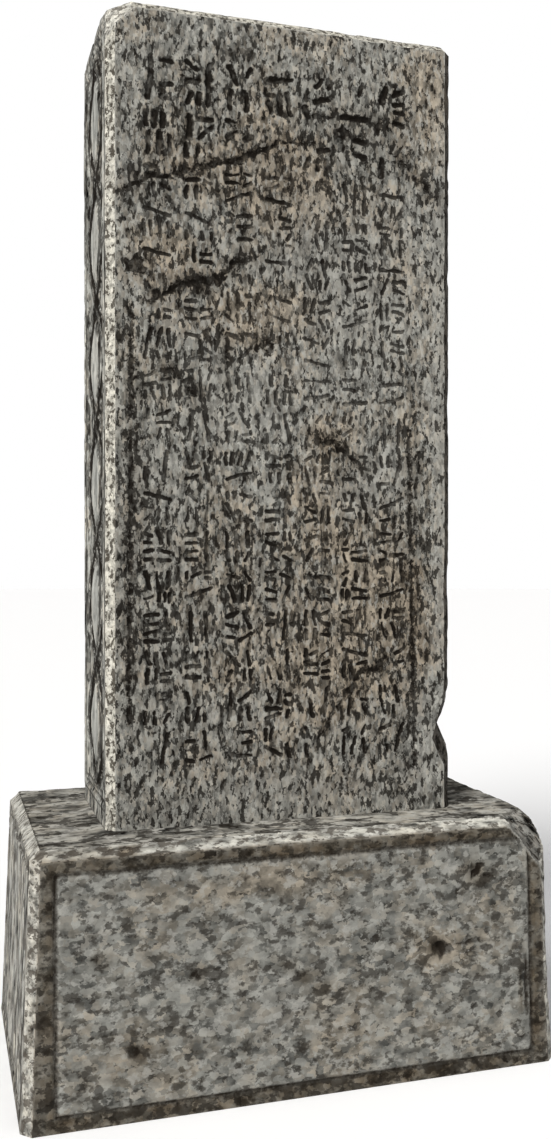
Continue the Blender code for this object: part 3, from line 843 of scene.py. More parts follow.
def stroke_group():
    """A cut stroke from its own frame: distance to its line in half widths, with a ragged rim."""
    defaults = {"Local": None, "Position": None, "Ragged": 0.5, "Worn": 0.0}
    local, position, ragged, worn = new_group("carved_stroke", defaults)
    across, along, half_length = local.parts()
    across = (position.noise(34.0, 1.0, 0.5) - 0.5) * 2.6 + across
    over = calc("MAXIMUM", abs(along) - half_length, 0.0)
    away = calc("SQRT", across * across + over * over)
    away = (position.noise(125.0, 3.0, 0.65) - 0.5) * (ragged * 4.0) + away
    away = away + (worn * 0.35 + position.noise(16.0, 2.0, 0.5).span(0.44, 0.30, 0.0, 0.5))
    filled = position.noise(30.0, 2.0, 0.6).span(0.64, 0.50, 0.7, 1.0) * (worn * -0.30 + 1.0)
    close_group({"Cut": away.span(1.60, 1.0) * filled, "Depth": away.span(1.4, 0.0) * filled})


def dirt_and_shade_group():
    """Dirt and painted shade in a hollow: full inside it and fading out over the reach, with a ragged rim."""
    defaults = {"Distance": 1.0, "Position": None, "Reach": 0.004, "Ragged": 0.006}
    distance, position, reach, ragged = new_group("hollow_dirt_and_shade", defaults)
    away = (position.noise(120.0, 3.0, 0.65) - 0.5) * ragged + distance
    filled = position.noise(62.0, 3.0, 0.6).span(0.40, 0.55, 0.80, 1.0)
    close_group({"Mask": away.span(reach, reach * -0.6) * filled})


def wear_group():
    """A band along a dressed edge, full on the edge and fading over the width, broken up by noise: it pales
    worn edges, and with rim_dark it draws a dark line along them.
    """
    edge, position, width = new_group("edge_wear", {"Edge": 1.0, "Position": None, "Width": 0.004})
    away = (position.noise(60.0, 3.0, 0.6) - 0.45) * (width * -3.0) + edge
    close_group({"Mask": away.span(width, 0.0)})


def streak_group():
    """Tooled or water-worn streaks: stretched noise in two sizes, from 0 to 1."""
    position, size = new_group("stone_streaks", {"Position": None, "Size": 0.01})
    scale = 1.0 / size
    streak = position.noise(scale, 2.0, 0.5).span(0.33, 0.67)
    line = position.vector("ADD", (4.0, 9.0, 2.0)).noise(scale * 2.4, 2.0, 0.6).span(0.42, 0.33)
    close_group({"Streak": streak, "Line": line})


def plait_group():
    """A carved two-strand plait: the dark outlines, middle lines and threads of the strands, dark patches
    where they cross, and the pale eyes between them, from the distance to each strand's middle."""
    defaults = {
        "Position": None, "Swing": 0.09, "Turns": 12.0, "Foot": 0.6, "Middle": 0.0, "Half Strand": 0.017
    }
    position, swing, turns, foot, middle, half_strand = new_group("plait_lines", defaults)
    _, across, up = position.parts()
    reach = calc("COSINE", (up - foot) * turns) * swing
    bent = (position.noise(26.0, 3.0, 0.6) - 0.5) * 0.030 + (across - middle)
    first, second = abs(bent - reach), abs(bent + reach)
    marks = []
    for distance in (first, second):
        marks.append(abs(distance - half_strand).span(0.0105, 0.0035))
        marks.append(distance.span(0.0060, 0.0015) * 0.7)
        marks.append(abs(distance - half_strand * 2.0).span(0.0075, 0.002) * 0.8)
    either = calc("MINIMUM", first, second)
    weave = add_node(up.tree, "ShaderNodeCombineXYZ", {0: first, 1: second, 2: up * 0.22})
    threads = weave.noise(95.0, 2.0, 0.55).span(0.485, 0.435) * either.span(0.050, 0.034)
    busy = most(first, second).span(0.080, 0.040)
    strand = either.span(half_strand * 1.5, half_strand, 0.0, 0.6)
    blobs = position.vector("MULTIPLY", (1, 1, 0.25)).noise(62.0, 3.0, 0.6).span(0.51, 0.46)
    line = most(*marks, threads * 0.85, most(busy, strand) * blobs)
    inside = calc("LESS_THAN", abs(bent), abs(reach))
    close_group({"Line": line, "Eye": inside * either.span(0.038, 0.056)})


# What every finish shares, and then what each has of its own. Size is a share of its block's grain size
COMMON_LOOK = dict(
    plait=False, strokes=False, stretch=(1.0, 1.0, 0.55), size=1.0, softness=0.03, dark_level=0.42,
    dark_amount=0.8, pale_level=0.60, pale_amount=0.45, warmth=0.5, streak=0.0, streak_size=0.010, turn=0.0,
    grime_gain=0.05, soil=(0.24, 0.19, 0.14), stain=0.3, dirt_reach=0.003, ragged=0.016, dirt_amount=0.92,
    wear_amount=0.6, rim_dark=0.0,
)
TABLET_LOOKS = {
    "tablet_inscribed_granite": dict(
        strokes=True, stretch=(1.0, 1.0, 0.5), dark_level=0.421, dark_amount=0.88, pale_amount=0.6,
        grime_gain=0.06, stain=0.5, ragged=0.026, dirt_amount=0.98,
    ),
    "tablet_arris_granite": dict(
        stretch=(1.0, 1.0, 0.75), size=0.95, contrast=0.7, dark_level=0.445, dark_amount=0.9,
        pale_amount=0.7, wear_amount=0.2,
        cool=(0.385, 0.37, 0.322), warm=(0.43, 0.405, 0.342),
        pale=(0.64, 0.615, 0.545), dark=(0.050, 0.042, 0.032),
    ),
    "tablet_plaited_granite": dict(
        plait=True, stretch=(1.0, 0.5, 0.3), contrast=1.2, dark_level=0.40, dirt_reach=0.004,
        ragged=0.008, wear_amount=0.1, rim_dark=0.7,
        streak=0.55, streak_stretch=(0.6, 0.45, 0.08), streak_dark=0.8,
        cool=(0.252, 0.250, 0.228), warm=(0.280, 0.252, 0.208), pale=(0.475, 0.478, 0.445),
    ),
    "tablet_shaded_granite": dict(
        cool=(0.060, 0.055, 0.048), warm=(0.075, 0.062, 0.047), pale=(0.14, 0.13, 0.115),
        dark_amount=0.9, wear_amount=0.1,
    ),
    "tablet_plain_granite": dict(stretch=(1.0, 1.0, 0.7), dark_level=0.40),
    "tablet_crown_granite": dict(stretch=(0.5, 1.0, 1.0), dark_level=0.40, cool=(0.20, 0.197, 0.18)),
    "tablet_broken_granite": dict(
        stretch=(1.0, 1.0, 1.0), contrast=0.8, dark_level=0.445,
        streak=0.4, streak_stretch=(0.3, 1.0, 0.5), streak_dark=0.8,
        cool=(0.465, 0.455, 0.408), warm=(0.48, 0.455, 0.40),
        pale=(0.62, 0.605, 0.56), dark=(0.085, 0.074, 0.060),
    ),
}
BASE_LOOKS = {
    "base_front_granite": dict(
        stretch=(0.75, 1.0, 1.0), softness=0.05, dark_level=0.405, dark_amount=0.72, pale_amount=0.55,
        grime_gain=0.10, soil=(0.38, 0.325, 0.265), stain=0.9, dirt_reach=0.005, ragged=0.010,
        dirt_amount=0.98,
    ),
    "base_arris_granite": dict(
        stretch=(0.5, 1.0, 1.0), size=0.7, contrast=1.0, dark_level=0.425, wear_amount=0.2,
        streak=0.55, streak_stretch=(0.3, 1.0, 0.6), streak_size=0.012, streak_dark=0.6,
        cool=(0.345, 0.338, 0.304), warm=(0.375, 0.352, 0.298),
        pale=(0.54, 0.527, 0.485), dark=(0.075, 0.064, 0.052),
    ),
    "base_side_granite": dict(
        stretch=(1.0, 0.4, 0.3), size=0.8, contrast=1.2,
        streak=0.6, streak_stretch=(1.0, 0.4, 0.12), streak_dark=0.9,
        cool=(0.235, 0.232, 0.213), warm=(0.26, 0.24, 0.20), dark=(0.06, 0.052, 0.042),
    ),
    "base_ledge_granite": dict(
        stretch=(0.45, 0.6, 1.0), size=0.9, contrast=1.15, pale_amount=0.7, wear_amount=0.0, rim_dark=0.75,
        streak=0.6, streak_stretch=(0.22, 0.42, 1.0), streak_size=0.014, streak_dark=0.8,
        cool=(0.238, 0.231, 0.207), warm=(0.268, 0.243, 0.20), pale=(0.46, 0.445, 0.405),
    ),
    "base_broken_granite": dict(
        stretch=(0.5, 1.0, 1.0), size=0.6, contrast=1.3, dark_level=0.38, rim_dark=0.5, turn=-0.85,
        streak=0.85, streak_stretch=(0.22, 0.7, 1.0), streak_size=0.020, streak_dark=0.95,
        cool=(0.188, 0.184, 0.168), warm=(0.212, 0.190, 0.158),
    ),
}

# Which look each part of the outline has, by its place in the block's list, with a row for each band
INSCRIBED, ARRIS, PLAITED, SHADED, PLAIN, CROWN, BROKEN = range(7)
TABLET_FINISHES = (
    (INSCRIBED, SHADED, PLAIN, PLAIN, PLAIN, PLAIN, PLAITED, ARRIS),
    (ARRIS, CROWN, CROWN, CROWN, CROWN, ARRIS, ARRIS, ARRIS),
    (CROWN,) * 8,
)
BASE_FACE, BASE_EDGE, BASE_SIDE, BASE_LEDGE, BASE_BROKEN = range(5)
BASE_FINISHES = (
    (BASE_FACE, BASE_EDGE, BASE_SIDE, BASE_EDGE) * 2,
    (BASE_EDGE,) * 8,
    (BASE_LEDGE,) * 8,
)


def stone_material(name, settings, changes):
    """One stone finish from the shared groups. Its look is the common one with its block's settings and
    its own changes."""
    own = {
        "contrast": settings.contrast,
        "cool": settings.cool_colour,
        "warm": settings.warm_colour,
        "pale": settings.pale_colour,
        "dark": settings.dark_colour,
    }
    look = SimpleNamespace(**{**COMMON_LOOK, **own, **changes})
    material = bpy.data.materials.new(name)
    material.use_nodes = True
    tree = material.node_tree
    shader = tree.nodes["Principled BSDF"].inputs
    position = add_node(tree, "ShaderNodeTexCoord", output="Object")

    def attribute(label, output=2):
        return add_node(tree, "ShaderNodeAttribute", output=output, attribute_name=label)

    grime, band, hollow = attribute("grime"), attribute("band"), attribute("hollow")
    inputs = {
        "Position": position.vector("MULTIPLY", look.stretch),
        "Size": settings.grain * look.size,
        "Dark Level": band * 0.04 + (grime * look.grime_gain + look.dark_level),
        "Pale Level": look.pale_level,
        "Softness": look.softness,
    }
    grain = place_group(tree, "granite_grain", inputs)
    tone, height = grain["Tone"], grain["Height"]
    patches = position.noise(9.0, 3.0, 0.55).span(0.42, 0.66, 0.0, look.warmth)
    warmth = calc("MULTIPLY_ADD", grain["Warm"] - 0.5, 0.8, patches + attribute("warm"), clamp=True)
    # The pale attribute is pale stone, and on the base also the painted highlights by the border grooves.
    pale = most(grain["Pale"] * look.pale_amount, attribute("pale") * 0.35)
    dark = grain["Dark"] * look.dark_amount
    if look.streak:
        along = position
        if look.turn:
            inputs = {"Vector": position, "Axis": (0.0, 1.0, 0.0), "Angle": look.turn}
            along = add_node(tree, "ShaderNodeVectorRotate", inputs)
        inputs = {"Position": along.vector("MULTIPLY", look.streak_stretch), "Size": look.streak_size}
        streak = place_group(tree, "stone_streaks", inputs)
        inputs = {0: look.streak, 2: tone, 3: streak["Streak"]}
        tone = add_node(tree, "ShaderNodeMix", inputs, data_type="FLOAT")
        dark = most(dark, streak["Line"] * look.streak_dark)
        height = streak["Line"] * -0.5 + height
    if look.plait:
        _, swing, low, pitch = plait_sizes()
        inputs = {
            "Position": position,
            "Swing": swing,
            "Turns": math.pi / pitch,
            "Foot": TABLET_LOW.z + low + pitch / 2,
            "Middle": MIDDLE_Y,
            "Half Strand": PLAIT_STRAND / 2,
        }
        plait = place_group(tree, "plait_lines", inputs)
        inside = attribute("panel")
        eye, line = plait["Eye"] * inside, plait["Line"] * inside
        frame_line = abs(hollow - 0.011).span(0.0035, 0.0008, 0.0, 0.7)
        pale = most(pale, eye * 0.5)
        dark = most(dark * (eye * -0.5 + 1.0), line * 0.97, frame_line)
        height = height - line
    # Dirt and painted shade: the cracks, pits, rules and grooves are filled towards the near-black dark
    # colour.
    inputs = {"Distance": hollow, "Position": position, "Reach": look.dirt_reach, "Ragged": look.ragged}
    dark = most(dark, place_group(tree, "hollow_dirt_and_shade", inputs)["Mask"] * look.dirt_amount)
    if look.strokes:
        inputs = {"Local": attribute("stroke", 1), "Position": position}
        inputs.update({"Ragged": 0.56, "Worn": attribute("worn")})
        stroke = place_group(tree, "carved_stroke", inputs)
        dark = most(dark, stroke["Cut"] * 0.98)
        height = stroke["Depth"] * -2.2 + height
    inputs = {"Edge": attribute("edge"), "Position": position, "Width": settings.wear}
    wear = place_group(tree, "edge_wear", inputs)["Mask"]
    inputs = {
        "Tone": tone,
        "Contrast": look.contrast,
        "Warmth": warmth,
        # The edge band pales the worn edges, and with rim_dark draws a dark line along them.
        "Pale": most(pale, wear * look.wear_amount),
        "Dark": most(dark, wear * look.rim_dark),
        "Cool Colour": (*look.cool, 1),
        "Warm Colour": (*look.warm, 1),
        "Pale Colour": (*look.pale, 1),
        "Dark Colour": (*look.dark, 1),
    }
    colour = place_group(tree, "stone_colour", inputs)["Colour"]
    mottle = position.noise(34.0, 3.0, 0.6).span(0.35, 0.62, 0.7, 1.0)
    soil = most(band, grime * look.stain) * mottle
    feed(shader["Base Color"], soil.blend(colour, (*look.soil, 1), "MULTIPLY"))
    feed(shader["Roughness"], tone * -0.12 + 0.90)
    shader["Specular IOR Level"].default_value = 0.06
    height = position.noise(420.0, 3.0, 0.6) * 0.35 + height
    inputs = {"Strength": 0.8, "Distance": BUMP_DEPTH, "Height": height}
    feed(shader["Normal"], add_node(tree, "ShaderNodeBump", inputs))
    return material


def weather(shell, seed, settings):
    """How far weather has lowered the whole skin: slow swells plus a finer pitting where it is rough."""
    swell = smooth_noise(shell.points, 0.16, seed, 2)
    rough = smooth_noise(shell.points, 0.035, seed + 7, 2)
    pitted = ease(smooth_noise(shell.points, 0.014, seed + 11), 0.55, 0.95)
    return settings.swell * swell + settings.pitting * (0.6 * rough + 0.8 * pitted)


def edge_chips(shell, seed, depth):
    """Chips along the dressed edges: the deeper the nearer the edge, where a noise passes a level."""
    chance = smooth_noise(shell.points, 0.045, seed, 2)
    return depth * ease(shell.edge, 0.012, 0.0) * (0.25 + ease(chance, 0.52, 0.72))


def face_material(shell, finishes, marked):
    """A material number for each face: by its band and part of the outline, or a mark's own number
    where all its points are marked."""
    table = np.array(finishes).ravel()
    quads, triangles = table[shell.quad_part], table[shell.triangle_part]
    for points, number in marked:
        quads = np.where(points[shell.quads].all(axis=1), number, quads)
        triangles = np.where(points[shell.triangles].all(axis=1), number, triangles)
    caps = (finishes[CROWN_BAND][FRONT], finishes[SIDE_BAND][BACK])
    return np.concatenate([quads, triangles, caps]).astype(np.int32)


def tablet_front_wear(points, settings):
    """The front's sink from its strokes, rules, cracks and pits, its strokes, and its own values of the
    attributes: the distance to the nearest hollow, and the zones."""
    places = np.stack([points[:, 0] - MIDDLE_X, points[:, 2] - TABLET_LOW.z], 1)
    shares = places / FRONT_SIZE
    wander = wobble(points, 0.026, 5)[:, None] * (0.010, 0.026)
    strokes = inscription()
    sink = stroke_sink(places, strokes, settings.stroke_depth)
    distance, half = crack_distance(places, CRACKS + VEINS, FRONT_SIZE, wander)
    torn = wobble(points, 0.012, 27) * 0.020 * np.clip(half / 0.007, 0.4, 1)
    narrowing = np.maximum(half - 0.005, 0) * (1.4 - 1.8 * smooth_noise(points, 0.030, 61, 2))
    distance = distance + torn + narrowing
    crack = np.minimum(half * 1.1, 0.006) * ease(distance, 0.003, -half * 0.8)
    uneven = 0.3 + 1.3 * smooth_noise(points, 0.016, 9, 3)
    jag = np.stack([wobble(points, 0.013, seed, 2) for seed in (33, 43)], 1) * 0.036
    pit_share, radius = pit_distance(places + jag, PITS, FRONT_SIZE, uneven)
    pit = radius * 0.25 * np.clip(1.1 - pit_share, 0, 1)
    ragged = (smooth_noise(points, 0.010, 77, 2) - 0.48) * 0.026
    hollow = np.minimum(distance + 0.001 - half * 0.3, (pit_share - 0.9) * radius + ragged)
    for start, end in RULES:
        away, _ = line_distance(places + wander * 0.25, start * FRONT_SIZE, end * FRONT_SIZE)
        away = np.abs(away + torn * 0.7)
        sink = np.maximum(sink, RULE_DEPTH * ease(away, RULE_WIDTH * 0.75, 0))
        hollow = np.minimum(hollow, away - RULE_WIDTH / 2)

    bend = wobble(points, 0.06, 21) * 1.4
    spots = (WARM_ZONES, GRIME_ZONES, PALE_ZONES, CALM_ZONES)
    warm, grime, pale, calm = [zones(shares, each, bend) for each in spots]
    left, low = TEXT_MARGIN_LEFT - WIDTH / 2, TEXT_MARGIN_FOOT
    right, high = WIDTH / 2 - TEXT_MARGIN_RIGHT, HEIGHT - TEXT_MARGIN_TOP
    within = np.minimum(places - (left, low), (right, high) - places).min(axis=1)
    text_block = ease(within + bend * 0.02, -0.02, 0.02)
    near_crack = 0.9 * ease(distance, 0.035, 0.0)
    grime = np.maximum(np.maximum(grime, text_block * 0.38 * (1 - calm)), near_crack)
    worn = np.maximum(calm * 0.75, 0.8 * ease(smooth_noise(points, 0.085, 47, 3), 0.62, 0.76))
    worn *= ease(shares[:, 1], 0.86, 0.80) * ease(shares[:, 1], 0.10, 0.36)
    sink = np.maximum(sink * (1 - 0.6 * worn), np.maximum(crack, pit))
    return sink, strokes, {"hollow": hollow, "warm": warm, "grime": grime, "pale": pale, "worn": worn}


def build_tablet(settings):
    """The inscribed tablet: a block shell with a broken corner, a notch, its cuts and its weathering."""
    plan = (TABLET_LOW.x, TABLET_HIGH.x, TABLET_LOW.y, TABLET_HIGH.y)
    inner = (MIDDLE_X - 0.02, MIDDLE_X + 0.02, MIDDLE_Y - 0.01, MIDDLE_Y + 0.01)
    low, high = TABLET_LOW.z, TABLET_HIGH.z
    shell = block_shell(plan, plan, low, high, TABLET_ARRIS, TABLET_COLUMNS, TABLET_ROWS, inner, True)
    bitten = cut_notch(shell)
    broken = break_corner(shell, (plan[0], plan[2], high), (1, 1, -1), TABLET_FACETS, 0.0045)
    x, y, z = shell.points.T
    up = z - low
    sink = np.zeros(len(x))
    attributes = {"hollow": np.ones(len(x)), "edge": shell.edge}
    for label in ("warm", "grime", "pale", "worn", "panel", "band"):
        attributes[label] = np.zeros(len(x))

    on_front = (np.abs(y - TABLET_LOW.y) < ON_UPRIGHT) & ~broken
    sink[on_front], strokes, front_values = tablet_front_wear(shell.points[on_front], settings)
    for label, values in front_values.items():
        attributes[label][on_front] = values

    sides = (
        (x - TABLET_LOW.x, MIDDLE_Y - y, DEPTH),
        (x - TABLET_HIGH.x, y - MIDDLE_Y, DEPTH),
        (y - TABLET_HIGH.y, MIDDLE_X - x, WIDTH),
    )
    for behind, across, width in sides:
        on_side = np.abs(behind) < ON_UPRIGHT
        _, away = frame_distance(across[on_side], up[on_side], *panel_box(width))
        sink[on_side] = GROOVE_DEPTH * ease(away, GROOVE_WIDTH * 0.6, 0)
        attributes["hollow"][on_side] = away - GROOVE_WIDTH * 0.22
    on_left = np.abs(x - TABLET_LOW.x) < ON_UPRIGHT
    relief, attributes["panel"][on_left] = plait_relief(MIDDLE_Y - y[on_left], up[on_left])
    sink[on_left] = np.maximum(sink[on_left], relief)

    sink += weather(shell, 3, settings) + edge_chips(shell, 31, TABLET_CHIPS)
    sink *= ease(up, -0.001, 0.02)
    sink[bitten] += 0.002 * smooth_noise(shell.points[bitten], 0.02, 13, 2)
    shell.lower(sink)

    part_material = face_material(shell, TABLET_FINISHES, ((broken, BROKEN), (bitten, SHADED)))
    corners = shell.quads.size + shell.triangles.size + sum(len(cap) for cap in shell.caps)
    stroke = np.tile(NO_STROKE, (corners, 1))
    flat = shell.points[:, [0, 2]] - (MIDDLE_X, low)
    front_quads = shell.quad_part == FRONT
    quad_corners = stroke[: shell.quads.size].reshape(-1, 4, 3)
    quad_corners[front_quads] = stroke_places(flat[shell.quads[front_quads]], strokes)
    attributes["stroke"] = stroke
    node, slot = "inscribed_tablet", "tablet_granite"
    make_piece("tablet_stone", shell, TABLET_LOOKS, settings, part_material, attributes, node)


def build_base(settings):
    """The base block: a leaning block shell with a broken corner, border grooves, holes and streaks."""
    foot = (BASE_LOW.x, BASE_HIGH.x, BASE_LOW.y, BASE_HIGH.y)
    top = (foot[0] + FLARE[0], foot[1] - FLARE[1], foot[2] + FLARE[2], foot[3] - FLARE[3])
    inner = (TABLET_LOW.x + 0.03, TABLET_HIGH.x - 0.03, TABLET_LOW.y + 0.03, TABLET_HIGH.y - 0.03)
    low, high = BASE_LOW.z, BASE_HIGH.z
    shell = block_shell(foot, top, low, high, BASE_ARRIS, BASE_COLUMNS, BASE_ROWS, inner, False)
    broken = break_corner(shell, (top[1], top[2], high), (-1, 1, -1), BASE_FACETS, 0.005)
    x, y, z = shell.points.T
    hollow = np.ones(len(x))
    sink, warm, grime, pale, band = np.zeros((5, len(x)))
    lean = z / BASE_HEIGHT
    beside, before = x - foot[0] - FLARE[0] * lean, y - foot[2] - FLARE[2] * lean
    faces = (
        (before, x, top[:2], 1.0),
        (y - foot[3] + FLARE[3] * lean, x, top[:2], 0.35),
        (beside, y, top[2:], 0.35),
        (x - foot[1] + FLARE[1] * lean, y, top[2:], 0.35),
    )
    inset = BASE_ARRIS + BORDER_MARGIN
    bend = wobble(shell.points, 0.05, 41) * 0.02
    for behind, across, (start, end), stained in faces:
        on_face = (np.abs(behind) < ON_LEANING) & ~broken
        half = (end - start) / 2 - inset
        across, up = across[on_face] - (start + end) / 2, z[on_face]
        outside, away = frame_distance(across, up, half, BORDER_MARGIN, BASE_HEIGHT - inset)
        sink[on_face] = GROOVE_DEPTH * ease(away, GROOVE_WIDTH * 0.6, 0)
        hollow[on_face] = away - GROOVE_WIDTH * 0.25
        # Painted highlight: a pale rim just inside each border groove, where the groove's edge catches the
        # light.
        painted_groove_highlight = ease(outside, -0.016, -0.006) * ease(outside, 0.000, -0.004)
        pale[on_face] = 0.8 * painted_groove_highlight * ease(bend[on_face], -0.004, 0.004)
        inner_edge = ease(outside + bend[on_face] * 0.6, -0.005, 0.005)
        band[on_face] = inner_edge * (1.0 - 0.2 * ease(outside, 0.010, 0.030)) * stained

    on_front = (np.abs(before) < ON_LEANING) & ~broken
    points, up = shell.points[on_front], z[on_front]
    places = np.stack([points[:, 0], up / BASE_HEIGHT * math.hypot(BASE_HEIGHT, FLARE[2])], 1)
    wander = wobble(points, 0.02, 15)[:, None] * (0.004, 0.012)
    distance, half = crack_distance(places, BASE_CRACKS, BASE_SIZE, wander)
    uneven = 0.6 + 0.9 * smooth_noise(points, 0.014, 19, 3)
    jag = np.stack([wobble(points, 0.013, seed, 2) for seed in (35, 45)], 1) * 0.022
    pit_share, radius = pit_distance(places + jag, BASE_PITS, BASE_SIZE, uneven)
    crack = half * 1.4 * ease(distance, 0.003, -half)
    pit = radius * 0.6 * np.clip(1.1 - pit_share, 0, 1) ** 0.7
    sink[on_front] = np.maximum(sink[on_front], np.maximum(crack, pit))
    ragged = (smooth_noise(points, 0.010, 79, 2) - 0.45) * 0.030 * ease(places[:, 1], 0.27, 0.33)
    flaw = np.minimum(distance, (pit_share - 0.9) * radius + ragged)
    hollow[on_front] = np.minimum(hollow[on_front], flaw)
    soft = wobble(points, 0.03, 23) * 1.2
    warm[on_front] = zones(places, BASE_WARM, soft)
    grime[on_front] = np.maximum(zones(places, BASE_GRIME, soft), 0.7 * ease(up, 0.034, 0.024))
    # Pale patches of the stone, and the painted highlights at the border's ends.
    pale[on_front] = np.maximum(pale[on_front], zones(places, BASE_PALE_AND_HIGHLIGHTS, soft))

    above = z > high - BASE_ARRIS + ON_LEANING
    grime[np.maximum(beside, before) < BASE_ARRIS - ON_LEANING] = 0.8
    pale[above & (x < top[0] + BASE_ARRIS) & (before > BASE_ARRIS)] = 1.0
    on_arris = above & (z < high - ON_LEANING) & (y < top[2] + BASE_ARRIS)
    band[on_arris] = 0.45 * ease(x[on_arris] + bend[on_arris], -0.315, -0.330)
    band[on_arris] += 0.40 * ease(np.abs(x[on_arris] + 0.350), 0.024, 0.014)

    sink += weather(shell, 53, settings) + edge_chips(shell, 61, BASE_CHIPS)
    to_tablet = np.maximum(np.abs(x - MIDDLE_X) - WIDTH / 2, np.abs(y - MIDDLE_Y) - DEPTH / 2)
    on_top = np.abs(z - high) < 1e-6
    sink = np.where(on_top, np.minimum(sink, 0.004) * ease(to_tablet, -0.002, 0.03), sink)
    sink *= ease(z, -0.001, 0.02)
    shell.lower(sink)

    part_material = face_material(shell, BASE_FINISHES, ((broken, BASE_BROKEN),))
    attributes = dict(hollow=hollow, edge=shell.edge, warm=warm, grime=grime, pale=pale, band=band)
    node, slot = "base_block", "base_granite"
    make_piece("base_stone", shell, BASE_LOOKS, settings, part_material, attributes, node)


def put(name, data, place=(0.0, 0.0, 0.0), turn=(0.0, 0.0, 0.0)):
    """Put an object with its data into the scene."""
    holder = bpy.data.objects.new(name, data)
    holder.location = place
    holder.rotation_euler = turn
    bpy.context.scene.collection.objects.link(holder)
    return holder


def soft_sun(name, place, spread, strength, colour):
    """A wide soft light from a place towards the origin, the same all over the floor."""
    lamp = bpy.data.lights.new(name, "SUN")
    lamp.angle = spread
    lamp.energy = strength
    lamp.color = colour
    x, y, z = place
    put(name, lamp, place, (math.pi / 2 - math.atan2(z, math.hypot(x, y)), 0.0, math.atan2(x, -y)))


def build_stage(settings):
    """A pale floor, soft studio light and the camera at the photograph's angle."""
    turn = np.arange(FLOOR_SIDES) * (2 * math.pi / FLOOR_SIDES)
    rim = np.full((FLOOR_SIDES, 3), FLOOR_HEIGHT)
    rim[:, :2] = np.stack([np.cos(turn), np.sin(turn)], 1) * FLOOR_RADIUS
    mesh = bpy.data.meshes.new("studio_floor")
    mesh.from_pydata(rim.tolist(), [], [list(range(FLOOR_SIDES))])
    paint = bpy.data.materials.new("studio_floor_paint")
    paint.use_nodes = True
    shader = paint.node_tree.nodes["Principled BSDF"].inputs
    shader["Base Color"].default_value = (*settings.floor_colour, 1)
    shader["Roughness"].default_value = 0.9
    mesh.materials.append(paint)
    put("studio_floor", mesh)

    world = bpy.data.worlds.new("studio_air")
    bpy.context.scene.world = world
    world.use_nodes = True
    air = world.node_tree.nodes["Background"].inputs
    seen = add_node(world.node_tree, "ShaderNodeLightPath", output="Is Camera Ray")
    feed(air["Strength"], seen * (1.0 - settings.fill) + settings.fill)
    air["Color"].default_value = (1.0, 1.0, 1.0, 1)

    soft_sun("key_light", (-6.0, -5.0, 6.0), 0.5, settings.key, (1.0, 0.99, 0.97))
    soft_sun("overhead_light", (1.0, -2.5, 10.0), 1.2, settings.overhead, (1.0, 1.0, 1.0))

    camera = bpy.data.cameras.new("photograph_camera")
    camera.sensor_width = 36.0
    camera.lens = CAMERA_LENS
    bpy.context.scene.camera = put("photograph_camera", camera, CAMERA_PLACE, CAMERA_TURN)
    bpy.context.scene.view_settings.view_transform = "Standard"


def colour_setting(label, description, value):
    """A colour's setting."""
    return FloatVectorProperty(
        name=label, description=description, default=value, subtype="COLOR", size=3, min=0.0, max=1.0
    )


def number_setting(label, description, value, **kind):
    """A number's setting. Its kind is a unit or a subtype, and it may have a least value."""
    return FloatProperty(name=label, description=description, default=value, **kind)


def stone_settings(cool, warm, pale, dark, grain, contrast, wear, swell, pitting):
    """The settings that both blocks have, with a block's own defaults."""
    size = {"unit": "LENGTH"}
    return {
        "cool_colour": colour_setting("Cool stone", "Grey of the stone's cool patches", cool),
        "warm_colour": colour_setting("Warm stone", "Beige of the stone's warm patches", warm),
        # The dark colour also fills the hollows as dirt and painted shade, and the pale colour also paints
        # the highlights by the base's grooves.
        "pale_colour": colour_setting("Pale grains", "Colour of pale grains and worn edges", pale),
        "dark_colour": colour_setting("Dark grains", "Colour of dark grains and dirt in the cuts", dark),
        "grain": number_setting("Grain size", "Size of the granite's grains", grain, min=0.002, **size),
        "contrast": number_setting(
            "Grain contrast", "How much the grains differ in tone", contrast, subtype="FACTOR"
        ),
        "wear": number_setting("Worn edge", "Width of the pale wear along edges", wear, **size),
        "swell": number_setting("Swells", "Depth of the slow swells of the skin", swell, **size),
        "pitting": number_setting("Pitting", "Depth of the weathered pitting", pitting, **size),
    }


class TabletSettings(bpy.types.PropertyGroup):
    """Sizes and colours of the inscribed tablet."""

    __annotations__ = stone_settings(
        cool=(0.202, 0.200, 0.181),
        warm=(0.235, 0.203, 0.159),
        pale=(0.38, 0.372, 0.338),
        dark=(0.0085, 0.0064, 0.0045),
        grain=0.0063,
        contrast=0.95,
        wear=0.004,
        swell=0.0018,
        pitting=0.0012,
    )
    __annotations__["stroke_depth"] = number_setting(
        "Stroke depth", "Depth of a stroke as a share of its width", 0.45, subtype="FACTOR"
    )


class BaseSettings(bpy.types.PropertyGroup):
    """Sizes and colours of the base block."""

    __annotations__ = stone_settings(
        cool=(0.164, 0.163, 0.148),
        warm=(0.182, 0.161, 0.129),
        pale=(0.33, 0.325, 0.298),
        dark=(0.020, 0.016, 0.012),
        grain=0.0125,
        contrast=0.80,
        wear=0.005,
        swell=0.0020,
        pitting=0.0014,
    )


class StageSettings(bpy.types.PropertyGroup):
    """Light and floor of the stage."""

    key: number_setting("Key light", "Strength of the key light", 3.5, min=0.0)
    overhead: number_setting("Overhead light", "Strength of the light from above", 0.8, min=0.0)
    fill: number_setting("Fill", "Strength of the air's own light", 0.15, subtype="FACTOR")
    floor_colour: colour_setting("Floor", "Colour of the floor", (0.97, 0.97, 0.975))


class STONE_OT_stage(bpy.types.Operator):
    """Set up the pale floor, the studio light and the camera"""

    bl_idname = "stone.stage"
    bl_label = "Stage"

    def execute(self, context):
        build_stage(context.scene.stone_stage)
        return {"FINISHED"}


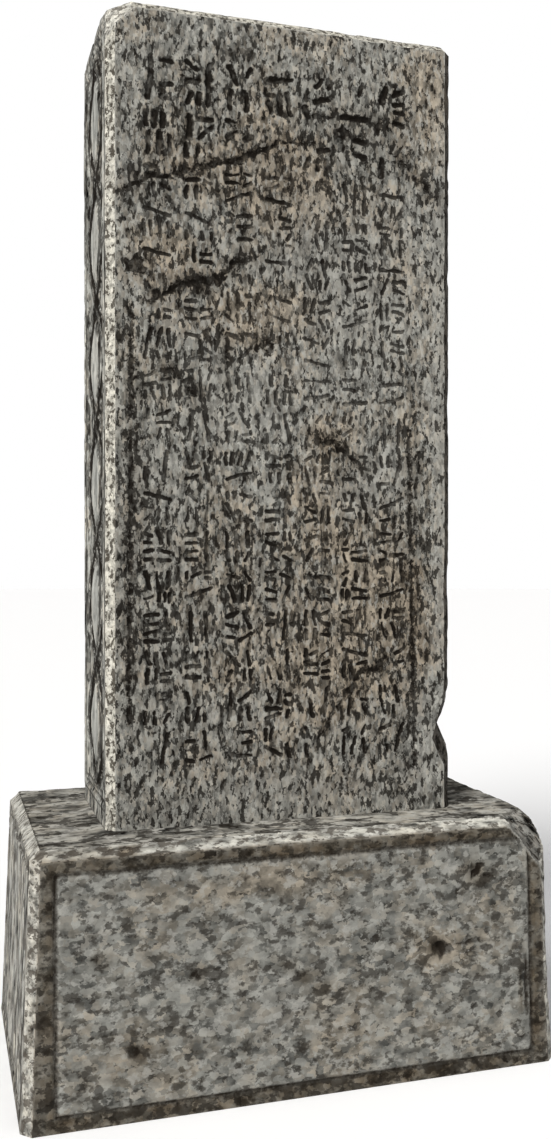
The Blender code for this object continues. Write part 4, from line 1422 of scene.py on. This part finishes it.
class STONE_OT_finishes(bpy.types.Operator):
    """Make the node groups that every stone finish shares"""

    bl_idname = "stone.finishes"
    bl_label = "Shared finishes"

    def execute(self, context):
        groups = (grain_group, colour_group, stroke_group, dirt_and_shade_group, wear_group, streak_group, plait_group)
        for make in groups:
            make()
        return {"FINISHED"}


class STONE_OT_tablet(bpy.types.Operator):
    """Build the inscribed tablet with its strokes, plait, cracks and broken edges"""

    bl_idname = "stone.tablet"
    bl_label = "Inscribed tablet"

    def execute(self, context):
        build_tablet(context.scene.stone_tablet)
        return {"FINISHED"}


class STONE_OT_base(bpy.types.Operator):
    """Build the leaning base block with its border, holes and tooled ledge"""

    bl_idname = "stone.base"
    bl_label = "Base block"

    def execute(self, context):
        build_base(context.scene.stone_base)
        return {"FINISHED"}


class STONE_PT_panel(bpy.types.Panel):
    """The steps of the stone tablet in order"""

    bl_idname = "STONE_PT_panel"
    bl_label = "Stone tablet"
    bl_space_type = "VIEW_3D"
    bl_region_type = "UI"
    bl_category = "Stone tablet"

    def draw(self, context):
        for step in OPERATORS:
            self.layout.operator(step.bl_idname)
        for name in SETTINGS:
            settings = getattr(context.scene, name)
            box = self.layout.box()
            for key in settings.bl_rna.properties.keys():
                if key not in ("rna_type", "name"):
                    box.prop(settings, key)


OPERATORS = (STONE_OT_stage, STONE_OT_finishes, STONE_OT_tablet, STONE_OT_base)
SETTINGS = {"stone_tablet": TabletSettings, "stone_base": BaseSettings, "stone_stage": StageSettings}
CLASSES = (*SETTINGS.values(), *OPERATORS, STONE_PT_panel)


def register():
    for each in CLASSES:
        bpy.utils.register_class(each)
    for name, group in SETTINGS.items():
        setattr(bpy.types.Scene, name, PointerProperty(type=group))


def unregister():
    for name in SETTINGS:
        delattr(bpy.types.Scene, name)
    for each in reversed(CLASSES):
        bpy.utils.unregister_class(each)


def main():
    register()
    bpy.ops.stone.stage()
    bpy.ops.stone.finishes()
    bpy.ops.stone.tablet()
    bpy.ops.stone.base()


if __name__ == "__main__":
    main()
